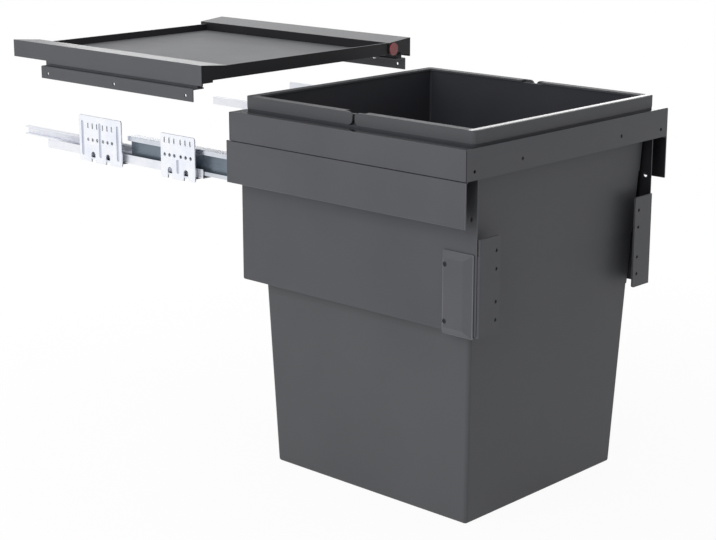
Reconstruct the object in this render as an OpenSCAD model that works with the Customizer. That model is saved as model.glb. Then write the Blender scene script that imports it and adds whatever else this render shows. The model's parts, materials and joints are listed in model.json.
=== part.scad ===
// Pull-out bin frame for a kitchen base cabinet, drawn fully pulled out: a fixed lid and two
// ball runners on wall brackets stay in the cabinet, and a sheet steel frame carries the bin.
// Left and right are seen from the front, which looks along -Y. +Z is up.
// The origin lies midway between the two outer door holes, on the front face of the front band.

/* [Cabinet] */
// Clear width between the cabinet's side walls
cabinet_w = 418; // [398:1:568]
// Gap between a cabinet wall and the slide cover
side_gap = 3.5; // [3:0.1:6]
// Travel of the frame from shut to fully out
travel = 448; // [436:1:460]

/* [Frame] */
// Depth of the band ring, front face to back face
frame_d = 395; // [385:1:405]
// Height of the painted bands
band_h = 37; // [32:1:50]
// Thickness of the frame's sheet steel
sheet_t = 1.5; // [1:0.1:2]
// Length of the bands' return flanges at the corners
return_l = 20; // [12:1:30]
// Gap between the cross bands' ledges and the bin
ledge_gap = 1; // [0.5:0.1:2]
// Diameter of the door screw holes in the front band
door_hole_d = 4.5; // [3:0.1:6]
// Height from the outer door holes up to the band's top edge
door_hole_drop = 26.5; // [22:0.5:29]
// Distance from the band's end to the outer door holes
door_hole_inset = 14.5; // [10:0.5:30]
// Distance between the two inner door holes
door_inner_pitch = 202; // [120:1:240]
// Height of the inner door holes above the outer ones
door_inner_rise = 3; // [0:0.5:8]

/* [Slide covers] */
// Height of a slide cover below its band
cover_h = 55.5; // [52:0.5:58]
// Wall thickness of a slide cover
cover_t = 2.2; // [1.6:0.1:3]
// How far a cover stands proud of the band above it
cover_proud = 1; // [0:0.1:2]
// Height of the hook that grips the band from inside
cover_hook_h = 10; // [6:1:14]
// Thickness of that hook
cover_hook_t = 2; // [1.5:0.1:3]
// Gap between that hook and the bands' return flanges
hook_gap = 2; // [1:0.5:6]
// Seam between band and cover
seam = 0.4; // [0.2:0.1:1]

/* [Side panels] */
// Depth of a side panel below the band's top edge
panel_h = 227; // [222:1:260]
// Setback of a panel's front edge from the front face
panel_setback = 4; // [3:0.5:6]
// How far panels and covers reach past the back band
back_over = 5; // [2:0.5:8]
// Gap between the cross bands and what passes below them
notch_gap = 1; // [0.5:0.1:2]
// Width of the panel's top flange under the ledge
panel_flange_w = 12; // [8:1:18]
// Diameter of the locating hole near the panel's front edge
panel_hole_d = 5.5; // [4:0.5:7]
// Distance of that hole behind the panel's front edge
panel_hole_back = 9; // [6:1:12]
// Depth of that hole below the band's top edge
panel_hole_drop = 86.5; // [70:0.5:100]

/* [Bin] */
// Depth of the bin's floor below the band's top edge
bin_h = 481; // [300:1:560]
// Gap between the bin and each side panel at the top
bin_gap = 1.5; // [1:0.1:3]
// Distance from the front face, or the back face, to the bin's wall at the top
bin_inset = 13; // [12:0.5:18]
// Wall thickness of the bin
bin_wall = 2.2; // [1.6:0.1:3]
// How much narrower the bin is at its floor, on each of its left and right sides
bin_taper_x = 21; // [16:0.5:30]
// How much the bin's front draws back towards its floor
bin_taper_front = 20; // [8:0.5:30]
// How much the bin's back draws in towards its floor
bin_taper_back = 14; // [8:0.5:30]
// Radius of the bin's upright corners
bin_corner_r = 5; // [4:0.5:14]
// Depth of each stacking step in the bin's wall
bin_step = 0.8; // [0.3:0.1:1]
// Depth of the first stacking step below the band's top edge
step_first = 80; // [60:1:100]
// Depth of the second stacking step
step_second = 162; // [140:1:180]
// Depth of the third stacking step
step_third = 231; // [210:1:250]

/* [Handles] */
// Overhang of the handle ring beyond the bin's wall
handle_over = 6; // [5:0.5:8]
// Wall thickness of the handles
handle_t = 2.5; // [2:0.1:3]
// Height of a handle's outer wall
handle_h = 15.7; // [13:0.1:20]
// Width of a handle's top
handle_top_w = 12; // [10:0.5:16]
// Gap between the two handles at the middle of each side
handle_gap = 4; // [2:0.5:8]
// Radius of the rounded handle ends
handle_end_r = 7; // [6.8:0.1:7.5]
// Distance from a handle's end to its pin, such that the end turns clear of the rest flange
handle_pin_back = 7.5; // [7:0.1:7.6]
// Length beside each pin along which a handle has no top, so that it folds up past the bin's wall
handle_end_open = 7; // [6:0.5:10]
// Corner radius of the handle ring
ring_r = 6; // [5:0.5:12]
// Thickness of the rest flange that hangs the bin in the frame
rim_t = 2.5; // [2:0.1:4]
// Diameter of a handle pin
handle_pin_d = 5; // [4:0.5:6]
// Depth of a handle pin's seat in the bin's wall
handle_pin_seat = 3; // [2:0.1:3.5]
// Thickness of the handle's skin outside a pin's end
handle_pin_skin = 1; // [0.8:0.1:1.5]

/* [Runner rails] */
// Length of the fixed race
rail_l = 402; // [396:1:420]
// Length of the intermediate rail
inter_l = 377; // [366:1:380]
// Height of the intermediate rail
inter_h = 34; // [33:0.5:36]
// Depth of the intermediate rail's top below the band's top edge
inter_drop = 58; // [54:0.5:59]
// Thickness of the rails' steel
rail_t = 1.8; // [1.5:0.1:2.2]
// Width of a race, web included
race_w = 7.4; // [7:0.1:9]
// Extra width of the drawer race, which reaches the slide cover
draw_extra = 1; // [0.8:0.1:3]
// Width of the intermediate rail's lips on each side of its web
inter_flange = 6.6; // [6.4:0.1:7]
// Height of the intermediate rail's upper lip towards the wall
outer_top_lip = 6.5; // [5:0.5:8]
// Height of its lower lip towards the wall
outer_bottom_lip = 5.5; // [5:0.5:7]
// Height of its upper lip towards the bin
inner_top_lip = 12; // [10:0.5:14]
// Height of its lower lip towards the bin
inner_bottom_lip = 2; // [1.8:0.1:4]
// Setback of the fixed race's front end behind the shut frame's front face
rail_setback = 2; // [0:0.5:8]
// Distance from the fixed race's back end to the intermediate rail when shut
inter_back_gap = 23; // [21:1:40]
// Distance of the drawer race's front end behind the front face
draw_setback = 22; // [20:1:40]
// How far the drawer race reaches past the band ring
draw_over = 3; // [0:0.5:5]

/* [Balls and cages] */
// Diameter of a ball
ball_d = 5; // [4.6:0.1:5.2]
// Running play round a ball
ball_play = 0.3; // [0.25:0.05:0.4]
// Gap between two race faces
race_gap = 4; // [3.8:0.1:4.2]
// Distance of a ball's centre from the intermediate rail's web
ball_off = 4; // [3.8:0.1:4.2]
// Distance between balls
ball_pitch = 16; // [14:1:17]
// Balls in a row of the outer cage
outer_count = 10; // [6:1:10]
// Balls in a row of the inner cage
inner_count = 9; // [4:1:9]
// Thickness of a cage
cage_t = 0.8; // [0.6:0.1:1.2]
// Play between a cage and the rails
cage_play = 0.35; // [0.3:0.05:0.5]
// Reach of a cage's arm past the ball's centre
cage_reach = 3.1; // [3:0.1:3.2]

/* [Rail carriers] */
// Gap between the slide cover and the carrier
carrier_gap = 1; // [0.8:0.1:1.5]
// Gap between the carrier and the side panel
panel_gap = 2.2; // [2:0.1:5]
// Length of the carrier
carrier_l = 332; // [320:1:360]
// Height of the carrier's outer web
carrier_h = 12.5; // [10:0.5:12.5]
// Clearance between the intermediate rail and the bracket feet
foot_gap = 4; // [3.5:0.5:6]

/* [Wall brackets] */
// Thickness of the bracket plates
bracket_t = 2; // [1.5:0.1:2.2]
// Width of the front bracket
front_bracket_w = 68; // [64:1:80]
// Height of the front bracket
front_bracket_h = 60; // [56:1:64]
// Width of the rear bracket
rear_bracket_w = 92; // [80:1:104]
// Height of the rear bracket
rear_bracket_h = 65; // [60:1:70]
// Distance from the race's front end to the middle of the front bracket
front_bracket_y = 42; // [41:1:60]
// Distance from the race's front end to the middle of the rear bracket
rear_bracket_y = 204; // [160:1:240]
// How far a bracket plate reaches below its foot
bracket_toe = 4; // [2:0.5:5]
// Corner radius of the bracket plates
bracket_r = 3; // [1:0.5:5]
// Distance between the two groups of wall holes
hole_pitch = 32; // [30:1:34]
// Distance between the holes of one group
hole_step = 9.7; // [8:0.1:10]
// Diameter of the wall holes
wall_hole_d = 5; // [4:0.1:6.3]
// Height of the wall holes above the bracket's lower edge
wall_hole_rise = 31.5; // [28:0.5:34]
// Height of the upper slots above the bracket's lower edge
slot_rise = 51; // [46:0.5:52]
// Width of the upper slots
slot_w = 3; // [2:0.5:4]
// Length of the upper slots
slot_l = 8; // [6:0.5:9]
// Width of the arches at the lower edge
arch_w = 9; // [6:0.5:12]
// Height of the arches
arch_h = 15; // [12:0.5:18]
// Width of the pressed beads
bead_w = 5; // [3:0.5:7]
// Depth of the pressed beads
bead_depth = 0.8; // [0.4:0.1:1]
// Height of the front bracket's bead top above the plate's lower edge
front_bead_h = 27; // [20:0.5:28]
// Margin of the beads from the plate's edges
bead_margin = 8; // [6:0.5:10]

/* [Door brackets] */
// Thickness of the door bracket's steel
door_bracket_t = 2.5; // [2:0.1:3]
// Reach of the door flange inside the side panel
door_flange_w = 38.5; // [36:0.5:50]
// Height of the door flange
door_flange_h = 120; // [110:1:124]
// Depth of the door flange's top below the band's top edge
door_flange_drop = 109; // [107:1:112]
// Distance of the flange holes from the side panel
flange_hole_in = 30.5; // [24:0.5:33]
// Distance between the holes of a pair
flange_pair = 22.5; // [18:0.5:26]
// Distance between the outermost flange holes
flange_span = 85; // [75:0.5:95]
// Diameter of the flange holes
flange_hole_d = 4.5; // [3:0.1:5.5]
// Length of the bracket's leg and its cover
pad_l = 47; // [40:1:60]
// Height of the leg's cover
pad_h = 103; // [96:1:110]
// Thickness of the cover
pad_t = 5.5; // [4:0.5:6]
// Height of the cover's upright edge
pad_edge = 2; // [0.5:0.5:2.5]
// Width of the slope at the cover's back
pad_bevel = 3; // [1:0.5:4]
// Width of the slope at the cover's front
pad_front_bevel = 13; // [2:0.5:18]
// Width of the slopes at the cover's upper and lower ends
pad_end_bevel = 9; // [2:0.5:12]
// Wall of the cover's margin round the leg
pad_margin = 2; // [1:0.5:4]
// Distance of the cover behind the panel's front edge
pad_back = 3; // [2:0.5:6]
// Distance between the two adjuster screws
adjuster_span = 70; // [60:1:80]
// Distance of the adjuster screws from the cover's back edge
adjuster_in = 6.5; // [6:0.5:10]
// Shank diameter of an adjuster screw
adjuster_d = 3.5; // [3:0.1:4.5]
// Head diameter of an adjuster screw
adjuster_head_d = 6; // [5:0.5:7]
// How far an adjuster screw reaches past the bracket's leg
adjuster_out = 1; // [0.5:0.1:1.5]

/* [Lid] */
// Length of the lid's rails
lid_l = 404; // [390:1:420]
// Setback of the lid's front end from the shut frame's front face, towards the room
lid_setback = 2; // [0:0.5:8]
// Gap between a lid rail and the cabinet wall
lid_gap = 4.5; // [3:0.5:6]
// Width of a lid rail
lid_rail_w = 46; // [38:1:56]
// Height of a lid rail
lid_rail_h = 24; // [20:0.5:28]
// Height of a rail's top above the frame's band
lid_rise = 54; // [50:0.5:60]
// Wall thickness of the lid
lid_wall = 2.5; // [2:0.1:3]
// Depth of the tray's floor below the rails' top
tray_sink = 17; // [14:0.5:18]
// Height of the tray's back upstand above its floor
tray_back_h = 10; // [6:0.5:12]
// Depth of the front lip below the tray's floor
tray_lip_drop = 4.5; // [4:0.1:6]
// Setback of the tray's front lip from the rails' front ends
tray_setback = 2; // [1:0.5:5]
// Setback of the tray's back upstand from the rails' back ends
tray_back_setback = 11; // [6:0.5:16]
// Width of the tray's tongues under the rails
tongue_w = 26; // [18:1:30]
// Depth of the rail's skirt below its back end's lower edge
skirt_h = 3; // [2:0.5:4]
// Length of the rail's raised back end
skirt_back = 79; // [60:1:100]
// Fall of a rail's top towards the tray
rail_fall = 4; // [2:0.5:8]
// Width of the level strip along a rail's outer edge
rail_edge = 2; // [1:0.5:6]
// Diameter of the round badge
badge_d = 18; // [12:0.5:18]
// Distance of the badge's middle from the rail's inner side
badge_in = 9.5; // [9.2:0.1:30]
// Thickness of the badge
badge_t = 1.2; // [0.6:0.1:2]

/* [Lid angles] */
// Length of a wall angle
wall_angle_l = 322; // [310:1:350]
// Distance of a wall angle behind the lid's front end
wall_angle_back = 13; // [8:0.5:20]
// Height of a wall angle
wall_angle_h = 17.5; // [15:0.5:19]
// Width of a wall angle's shelf
wall_angle_w = 20; // [18:1:24]
// Thickness of a wall angle
wall_angle_t = 2; // [1.5:0.1:2.5]
// Gap between a rail's skirt and the wall angle
wall_angle_gap = 4; // [3:0.5:5]
// Distance of the end holes from the wall angle's ends
wall_angle_end = 14.5; // [10:0.5:20]
// Depth of the wall angle's holes below its top
wall_angle_hole_drop = 10; // [8:0.5:12]
// Diameter of the wall angle's holes
wall_angle_hole_d = 4.5; // [3:0.1:6]
// Margin between the rail's seat and the edges of the angle's shelf
seat_edge = 2; // [1:0.5:3]

/* [Fasteners] */
// Shank diameter of the rivets
rivet_d = 4; // [3:0.1:4.5]
// Head diameter of the rivets
rivet_head_d = 7; // [6:0.5:8]
// Head height of the rivets
rivet_head_h = 1.2; // [0.8:0.1:1.5]
// Distance between the lid's screws
lid_screw_pitch = 112; // [80:1:130]
// Width of a head's crown as a share of its foot
head_crown = 0.7; // [0.5:0.05:0.9]
// Play between a shank and its hole
fit_play = 0.1; // [0.05:0.05:0.3]
// Shank diameter of the lid's screws
lid_screw_d = 3.5; // [3:0.1:4.5]
// Head diameter of the lid's screws
lid_screw_head_d = 7; // [6:0.5:8]
// Head height of the lid's screws
lid_screw_head_h = 2; // [1.5:0.1:2.5]

/* [Hidden] */
$fn = 48;
// Overshoot of the cutting shapes
cut = 1;
// Thickness of the slices that tapered shapes span
hair = 0.01;
steel = "#5c5d62";
black = "#232326";
plastic = "#47484c";
zinc = "#d5dae2";

// Across: distances of each face from the middle plane
wall_x = cabinet_w / 2;
cover_out = wall_x - side_gap;
cover_in = cover_out - cover_t;
band_out = cover_out - cover_proud;
band_in = band_out - sheet_t;

// Across, inside a runner: depths behind the slide cover's inner face
cage_room = cage_t + 2 * cage_play;
s_draw1 = race_w + draw_extra;
s_web0 = s_draw1 + cage_room;
s_web1 = s_web0 + rail_t;
s_rail0 = s_web1 + cage_room;
s_rail1 = s_rail0 + race_w;
s_carrier = s_rail1 + sheet_t;
s_ball_outer = s_web0 - ball_off;
s_ball_inner = s_web1 + ball_off;
panel_out = cover_in - s_carrier - panel_gap;
panel_in = panel_out - sheet_t;

// Heights: distances above the outer door holes
z_band = door_hole_drop;
z_seam = z_band - band_h;
z_cover = z_seam - cover_h;
z_inter1 = z_band - inter_drop;
z_inter0 = z_inter1 - inter_h;
outer_faces = [z_inter0 + outer_bottom_lip, z_inter1 - outer_top_lip];
inner_faces = [z_inter0 + inner_bottom_lip, z_inter1 - inner_top_lip];
draw_zs = between_faces(outer_faces, race_gap);
rail_zs = between_faces(inner_faces, race_gap);
outer_ball_zs = between_faces(outer_faces, race_gap / 2);
inner_ball_zs = between_faces(inner_faces, race_gap / 2);
z_foot = z_inter0 - foot_gap;
z_bracket = z_foot - bracket_t - bracket_toe;
z_mid_rail = (rail_zs[0] + rail_zs[1]) / 2;
groove_r = ball_d / 2 + ball_play;

// Lengthwise: distances behind the front face, with the frame pulled out
rail_y0 = travel + rail_setback;
rail_y1 = rail_y0 + rail_l;
inter_y1 = rail_y1 - inter_back_gap - travel / 2;
inter_y0 = inter_y1 - inter_l;
draw_y1 = frame_d + draw_over;
outer_cage_y = (inter_y0 + draw_y1) / 2;
inner_cage_y = (rail_y0 + inter_y1) / 2;
bracket_ys = [rail_y0 + front_bracket_y, rail_y0 + rear_bracket_y];
panel_y1 = frame_d + back_over;

// Rivet places
s_foot_rivet = (carrier_gap + s_carrier) / 2;
bracket_rivet_ys = [for (y = bracket_ys) for (k = [-1, 1]) y + k * hole_pitch / 2];

// Bin and handles
bin_x = panel_in - bin_gap;
bin_y = frame_d / 2 - bin_inset;
mid_y = frame_d / 2;
bin_steps = 3;
lap = 0.5;
handle_lift = 0.3;
rim_z1 = z_band + rim_t + handle_lift + handle_h;
ring_x = bin_x + handle_over;
ring_y = bin_y + handle_over;
pin_z = z_band + rim_t + handle_lift + handle_h / 2;

// Door brackets
pad_y0 = panel_setback + pad_back;
pad_z0 = z_band - door_flange_drop - door_flange_h - pad_margin;
adjuster_y = pad_y0 + pad_l - adjuster_in;
adjuster_zs = [for (k = [-1, 1]) pad_z0 + pad_h / 2 + k * adjuster_span / 2];
flange_mid = z_band - door_flange_drop - door_flange_h / 2;
flange_holes = [for (k = [-1, 1]) for (d = [0, flange_pair]) k * (flange_span / 2 - d)];

// Lid
lid_y0 = travel - lid_setback;
lid_y1 = lid_y0 + lid_l;
lid_x = wall_x - lid_gap;
lid_in = lid_x - lid_rail_w;
z_lid1 = z_band + lid_rise;
z_lid0 = z_lid1 - lid_rail_h;
z_skirt = z_lid0 - skirt_h;
z_angle1 = z_skirt - wall_angle_gap;
z_angle0 = z_angle1 - wall_angle_h;
z_tray = z_lid1 - tray_sink;
angle_y0 = lid_y0 + wall_angle_back;
angle_y1 = angle_y0 + wall_angle_l;
angle_hole_z = z_angle1 - wall_angle_hole_drop;
angle_holes = [angle_y0 + wall_angle_end, (angle_y0 + angle_y1) / 2, angle_y1 - wall_angle_end];
seat_x0 = wall_x - wall_angle_w + seat_edge;
seat_x1 = lid_x - lid_wall - seat_edge;
tongue_x = lid_in + tongue_w;
tray_screw_x = lid_in + tongue_w / 2;
angle_screw_x = (seat_x0 + seat_x1) / 2;
lid_screw_ys = [for (k = [-1, 0, 1]) (angle_y0 + angle_y1) / 2 + k * lid_screw_pitch];
boss_d = lid_screw_head_d;

// Across position of a depth behind the left slide cover's inner face
function sx(s) = s - cover_in;

// Two heights, drawn in from a pair of faces by the same gap
function between_faces(faces, gap) = [faces[0] + gap, faces[1] - gap];

// Draws a left piece as it is, or its mirror image on the right.
module on_side(side) {
    if (side == "left") children();
    else mirror([1, 0, 0]) children();
}

// Draws a left piece and its mirror image.
module both_sides() {
    children();
    mirror([1, 0, 0]) children();
}

module block(lo, hi) {
    translate(lo) cube(hi - lo);
}

// Flat rectangle with round corners, given by its half width and half depth.
module round_rect(w, d, r) {
    square([2 * w, 2 * (d - r)], center = true);
    square([2 * (w - r), 2 * d], center = true);
    for (i = [-1, 1]) for (j = [-1, 1]) translate([i * (w - r), j * (d - r)]) circle(r);
}

// Round bar along X, from one x to another.
module bar_x(d, x0, x1, y, z) {
    translate([x0, y, z]) rotate([0, 90, 0]) cylinder(d = d, h = x1 - x0);
}

// Round bar along Y, from one y to another.
module bar_y(r, x, y0, y1, z) {
    translate([x, y0, z]) rotate([-90, 0, 0]) cylinder(r = r, h = y1 - y0);
}

// Upright slot through a plate whose faces lie at x0 and x1.
module slot_x(w, l, x0, x1, y, z) {
    block([x0, y - w / 2, z - (l - w) / 2], [x1, y + w / 2, z + (l - w) / 2]);
    for (k = [-1, 1]) bar_x(w, x0, x1, y, z + k * (l - w) / 2);
}

// Rivet along Z whose grip runs from z = 0 to z = grip, with a domed head at each end.
module rivet(grip) {
    cylinder(d = rivet_d, h = grip);
    translate([0, 0, grip]) rivet_head();
    mirror([0, 0, 1]) rivet_head();
}

module rivet_head() {
    cylinder(d = rivet_head_d, h = rivet_head_h / 2);
    translate([0, 0, rivet_head_h / 2])
        cylinder(d1 = rivet_head_d, d2 = rivet_head_d * head_crown, h = rivet_head_h / 2);
}

// Ball grooves along a rail, at one depth in the runner.
module grooves(s, zs, y0, y1) {
    for (z = zs) bar_y(groove_r, sx(s), y0 - cut, y1 + cut, z);
}

// Brackets on the left cabinet wall

module wall_bracket(y, w, h, bead_ys, bead_top) {
    x0 = -wall_x;
    x1 = x0 + bracket_t;
    hole_z = z_bracket + wall_hole_rise;
    color(zinc) difference() {
        union() {
            translate([x0, y, z_bracket + h / 2]) rotate([90, 0, 90])
                linear_extrude(bracket_t) round_rect(w / 2, h / 2, bracket_r);
            block([x0, y - w / 2 + bracket_r, z_foot - bracket_t],
                [sx(s_rail1), y + w / 2 - bracket_r, z_foot]);
        }
        for (g = [-1, 1]) {
            for (k = [-1, 0, 1]) {
                bar_x(wall_hole_d, x0 - cut, x1 + cut, y + g * hole_pitch / 2 + k * hole_step, hole_z);
                slot_x(slot_w, slot_l, x0 - cut, x1 + cut, y + g * hole_pitch / 2 + k * hole_step,
                    z_bracket + slot_rise);
            }
            arch(x0 - cut, x1, y + g * hole_pitch / 2);
            translate([sx(s_foot_rivet), y + g * hole_pitch / 2, z_foot - bracket_t - cut])
                cylinder(d = rivet_d + 2 * fit_play, h = bracket_t + 2 * cut);
        }
        for (b = bead_ys)
            slot_x(bead_w, bead_top - bead_margin, x0 - cut, x0 + bead_depth, y + b,
                z_bracket + (bead_top + bead_margin) / 2);
    }
}

// Arch cut out of a bracket plate's lower edge.
module arch(x0, x1, y) {
    block([x0, y - arch_w / 2, z_bracket - cut], [x1, y + arch_w / 2, z_bracket + arch_h - arch_w / 2]);
    bar_x(arch_w, x0, x1, y, z_bracket + arch_h - arch_w / 2);
}

module front_wall_bracket(side) {
    on_side(side) wall_bracket(bracket_ys[0], front_bracket_w, front_bracket_h, [0], front_bead_h);
}

module rear_wall_bracket(side) {
    edge = rear_bracket_w / 2 - bead_margin;
    on_side(side)
        wall_bracket(bracket_ys[1], rear_bracket_w, rear_bracket_h, [-edge, 0, edge],
            rear_bracket_h - bead_margin);
}

// Left runner, from the wall inwards

module support_angle(side) {
    y1 = rail_y0 + carrier_l;
    color(zinc) on_side(side) difference() {
        union() {
            block([sx(carrier_gap), rail_y0, z_foot], [sx(carrier_gap + sheet_t), y1, z_foot + carrier_h]);
            block([sx(carrier_gap), rail_y0, z_foot], [sx(s_carrier), y1, z_foot + sheet_t]);
            block([sx(s_rail1), rail_y0, z_foot], [sx(s_carrier), y1, rail_zs[1]]);
        }
        for (y = bracket_rivet_ys) {
            translate([sx(s_foot_rivet), y, z_foot - cut])
                cylinder(d = rivet_d + 2 * fit_play, h = sheet_t + 2 * cut);
            bar_x(rivet_d + 2 * fit_play, sx(s_rail1) - cut, sx(s_carrier) + cut, y, z_mid_rail);
        }
    }
}

// Channel of a race between two depths and two heights, with its web on the side given by web_s.
module race(s0, s1, web_s, zs, y0, y1) {
    block([sx(web_s), y0, zs[0]], [sx(web_s + rail_t), y1, zs[1]]);
    block([sx(s0), y0, zs[0]], [sx(s1), y1, zs[0] + rail_t]);
    block([sx(s0), y0, zs[1] - rail_t], [sx(s1), y1, zs[1]]);
}

module cabinet_rail(side) {
    color(zinc) on_side(side) difference() {
        race(s_rail0, s_rail1, s_rail1 - rail_t, rail_zs, rail_y0, rail_y1);
        grooves(s_ball_inner, inner_ball_zs, rail_y0, rail_y1);
        for (y = bracket_rivet_ys)
            bar_x(rivet_d + 2 * fit_play, sx(s_rail1 - rail_t) - cut, sx(s_rail1) + cut, y, z_mid_rail);
    }
}

module intermediate_rail(side) {
    color(zinc) on_side(side) difference() {
        union() {
            block([sx(s_web0), inter_y0, z_inter0], [sx(s_web1), inter_y1, z_inter1]);
            lips(s_web0 - inter_flange, s_web0, outer_faces);
            lips(s_web1, s_web1 + inter_flange, inner_faces);
        }
        grooves(s_ball_outer, outer_ball_zs, inter_y0, inter_y1);
        grooves(s_ball_inner, inner_ball_zs, inter_y0, inter_y1);
    }
}

// Upper lip, folded round a hollow, and lower lip of the intermediate rail on one side of its web.
module lips(s0, s1, faces) {
    block([sx(s0), inter_y0, z_inter0], [sx(s1), inter_y1, faces[0]]);
    difference() {
        block([sx(s0), inter_y0, faces[1]], [sx(s1), inter_y1, z_inter1]);
        block([sx(s0 + rail_t), inter_y0 - cut, faces[1] + rail_t],
            [sx(s1 - rail_t), inter_y1 + cut, z_inter1 - rail_t]);
    }
}

module drawer_rail(side) {
    color(zinc) on_side(side) difference() {
        race(0, s_draw1, 0, draw_zs, draw_setback, draw_y1);
        grooves(s_ball_outer, outer_ball_zs, draw_setback, draw_y1);
    }
}

// Ball cage: a web between the rails, with an arm round each of its two ball rows.
module cage(web_s, ball_s, zs, y, count) {
    y0 = y - count * ball_pitch / 2;
    y1 = y + count * ball_pitch / 2;
    arm_s0 = min(web_s, ball_s - cage_reach);
    arm_s1 = max(web_s + cage_t, ball_s + cage_reach);
    color(black) difference() {
        union() {
            block([sx(web_s), y0, zs[0]], [sx(web_s + cage_t), y1, zs[1]]);
            for (z = zs) block([sx(arm_s0), y0, z - cage_t / 2], [sx(arm_s1), y1, z + cage_t / 2]);
        }
        for (z = zs) for (i = [0 : count - 1])
            translate([sx(ball_s), y0 + (i + 0.5) * ball_pitch, z - race_gap / 2])
                cylinder(r = groove_r, h = race_gap);
    }
}

module balls(ball_s, zs, y, count) {
    color(zinc) for (z = zs) for (i = [0 : count - 1])
        translate([sx(ball_s), y + (i + 0.5 - count / 2) * ball_pitch, z]) sphere(d = ball_d);
}

module outer_cage(side) {
    on_side(side) cage(s_draw1 + cage_play, s_ball_outer, outer_ball_zs, outer_cage_y, outer_count);
}

module outer_balls(side) {
    on_side(side) balls(s_ball_outer, outer_ball_zs, outer_cage_y, outer_count);
}

module inner_cage(side) {
    on_side(side) cage(s_web1 + cage_play, s_ball_inner, inner_ball_zs, inner_cage_y, inner_count);
}

module inner_balls(side) {
    on_side(side) balls(s_ball_inner, inner_ball_zs, inner_cage_y, inner_count);
}

module bracket_rivets() {
    color(zinc) both_sides() for (y = bracket_rivet_ys)
        translate([sx(s_foot_rivet), y, z_foot - bracket_t]) rivet(bracket_t + sheet_t);
}

module rail_rivets() {
    color(zinc) both_sides() for (y = bracket_rivet_ys)
        translate([sx(s_rail1 - rail_t), y, z_mid_rail]) rotate([0, 90, 0]) rivet(rail_t + sheet_t);
}

// Band ring and side panels

// Cross band whose outer face lies at Y = 0, with its ledge and its return flanges behind it.
module cross_band() {
    block([-band_out, 0, z_seam], [band_out, sheet_t, z_band]);
    block([-panel_in, sheet_t, z_band - sheet_t], [panel_in, bin_inset - ledge_gap, z_band]);
    both_sides()
        block([-band_in, sheet_t, z_seam + notch_gap],
            [sheet_t - band_in, sheet_t + return_l, z_band - 2 * sheet_t]);
}

module front_band() {
    outer_x = band_out - door_hole_inset;
    color(steel) difference() {
        cross_band();
        for (k = [-1, 1]) {
            bar_y(door_hole_d / 2, k * outer_x, -cut, sheet_t + cut, 0);
            bar_y(door_hole_d / 2, k * door_inner_pitch / 2, -cut, sheet_t + cut, door_inner_rise);
        }
    }
}

module rear_band() {
    color(steel) translate([0, frame_d, 0]) mirror([0, 1, 0]) cross_band();
}

module upper_band(side) {
    y1 = frame_d - sheet_t;
    color(steel) on_side(side) {
        block([-band_out, sheet_t, z_seam], [-band_in, y1, z_band]);
        block([-band_out, sheet_t, z_band - sheet_t], [-panel_in, y1, z_band]);
    }
}

module slide_cover(side) {
    hook_y0 = sheet_t + return_l + hook_gap;
    color(steel) on_side(side) {
        block([-cover_out, seam, z_cover], [-cover_in, panel_y1, z_seam - seam]);
        block([-cover_in, hook_y0, z_seam - seam - cover_hook_t],
            [cover_hook_t - band_in, frame_d - hook_y0, z_seam - seam]);
        block([-band_in, hook_y0, z_seam - seam - cover_hook_t],
            [cover_hook_t - band_in, frame_d - hook_y0, z_seam + cover_hook_h]);
    }
}

module side_panel(side) {
    y1 = frame_d - 2 * sheet_t;
    top = z_band - sheet_t;
    color(steel) on_side(side) difference() {
        union() {
            block([-panel_out, panel_setback, z_band - panel_h], [-panel_in, y1, top]);
            block([-panel_out, panel_setback, z_band - panel_h], [-panel_in, panel_y1, z_seam - notch_gap]);
            block([-panel_out - panel_flange_w, return_l, top - sheet_t],
                [-panel_in, frame_d - return_l, top]);
        }
        bar_x(panel_hole_d, -panel_out - cut, cut - panel_in, panel_setback + panel_hole_back,
            z_band - panel_hole_drop);
        for (z = adjuster_zs)
            bar_x(adjuster_d + 2 * fit_play, -panel_out - cut, cut - panel_in, adjuster_y, z);
    }
}

// Door brackets

module door_bracket(side) {
    x0 = -panel_in;
    x1 = door_bracket_t - panel_in;
    z0 = flange_mid - door_flange_h / 2;
    color(steel) on_side(side) difference() {
        union() {
            block([x0, 0, z0], [x0 + door_flange_w, door_bracket_t, z0 + door_flange_h]);
            block([x0, 0, pad_z0 + pad_margin],
                [x1, pad_y0 + pad_l - pad_margin, pad_z0 + pad_h - pad_margin]);
        }
        for (z = flange_holes)
            bar_y(flange_hole_d / 2, x0 + flange_hole_in, -cut, door_bracket_t + cut, flange_mid + z);
        for (z = adjuster_zs)
            bar_x(adjuster_d + 2 * fit_play, x0 - cut, x1 + cut, adjuster_y, z);
    }
}

module bracket_cover(side) {
    x1 = -panel_out;
    x0 = x1 - pad_t;
    color(plastic) on_side(side) difference() {
        hull() {
            block([x1 - pad_edge, pad_y0, pad_z0], [x1, pad_y0 + pad_l, pad_z0 + pad_h]);
            block([x0, pad_y0 + pad_front_bevel, pad_z0 + pad_end_bevel],
                [x0 + hair, pad_y0 + pad_l - pad_bevel, pad_z0 + pad_h - pad_end_bevel]);
        }
        for (z = adjuster_zs) {
            bar_x(adjuster_d + 2 * fit_play, x0 - cut, x1 + cut, adjuster_y, z);
            bar_x(adjuster_head_d + 2 * fit_play, x0 - cut, x0 + pad_t / 2, adjuster_y, z);
        }
    }
}

module adjuster_screws() {
    x0 = -panel_out - pad_t / 2;
    color(zinc) both_sides() for (z = adjuster_zs) {
        bar_x(adjuster_d, x0, door_bracket_t + adjuster_out - panel_in, adjuster_y, z);
        bar_x(adjuster_head_d, x0 - pad_t / 4, x0, adjuster_y, z);
    }
}

// Bin and its folding handles

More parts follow.
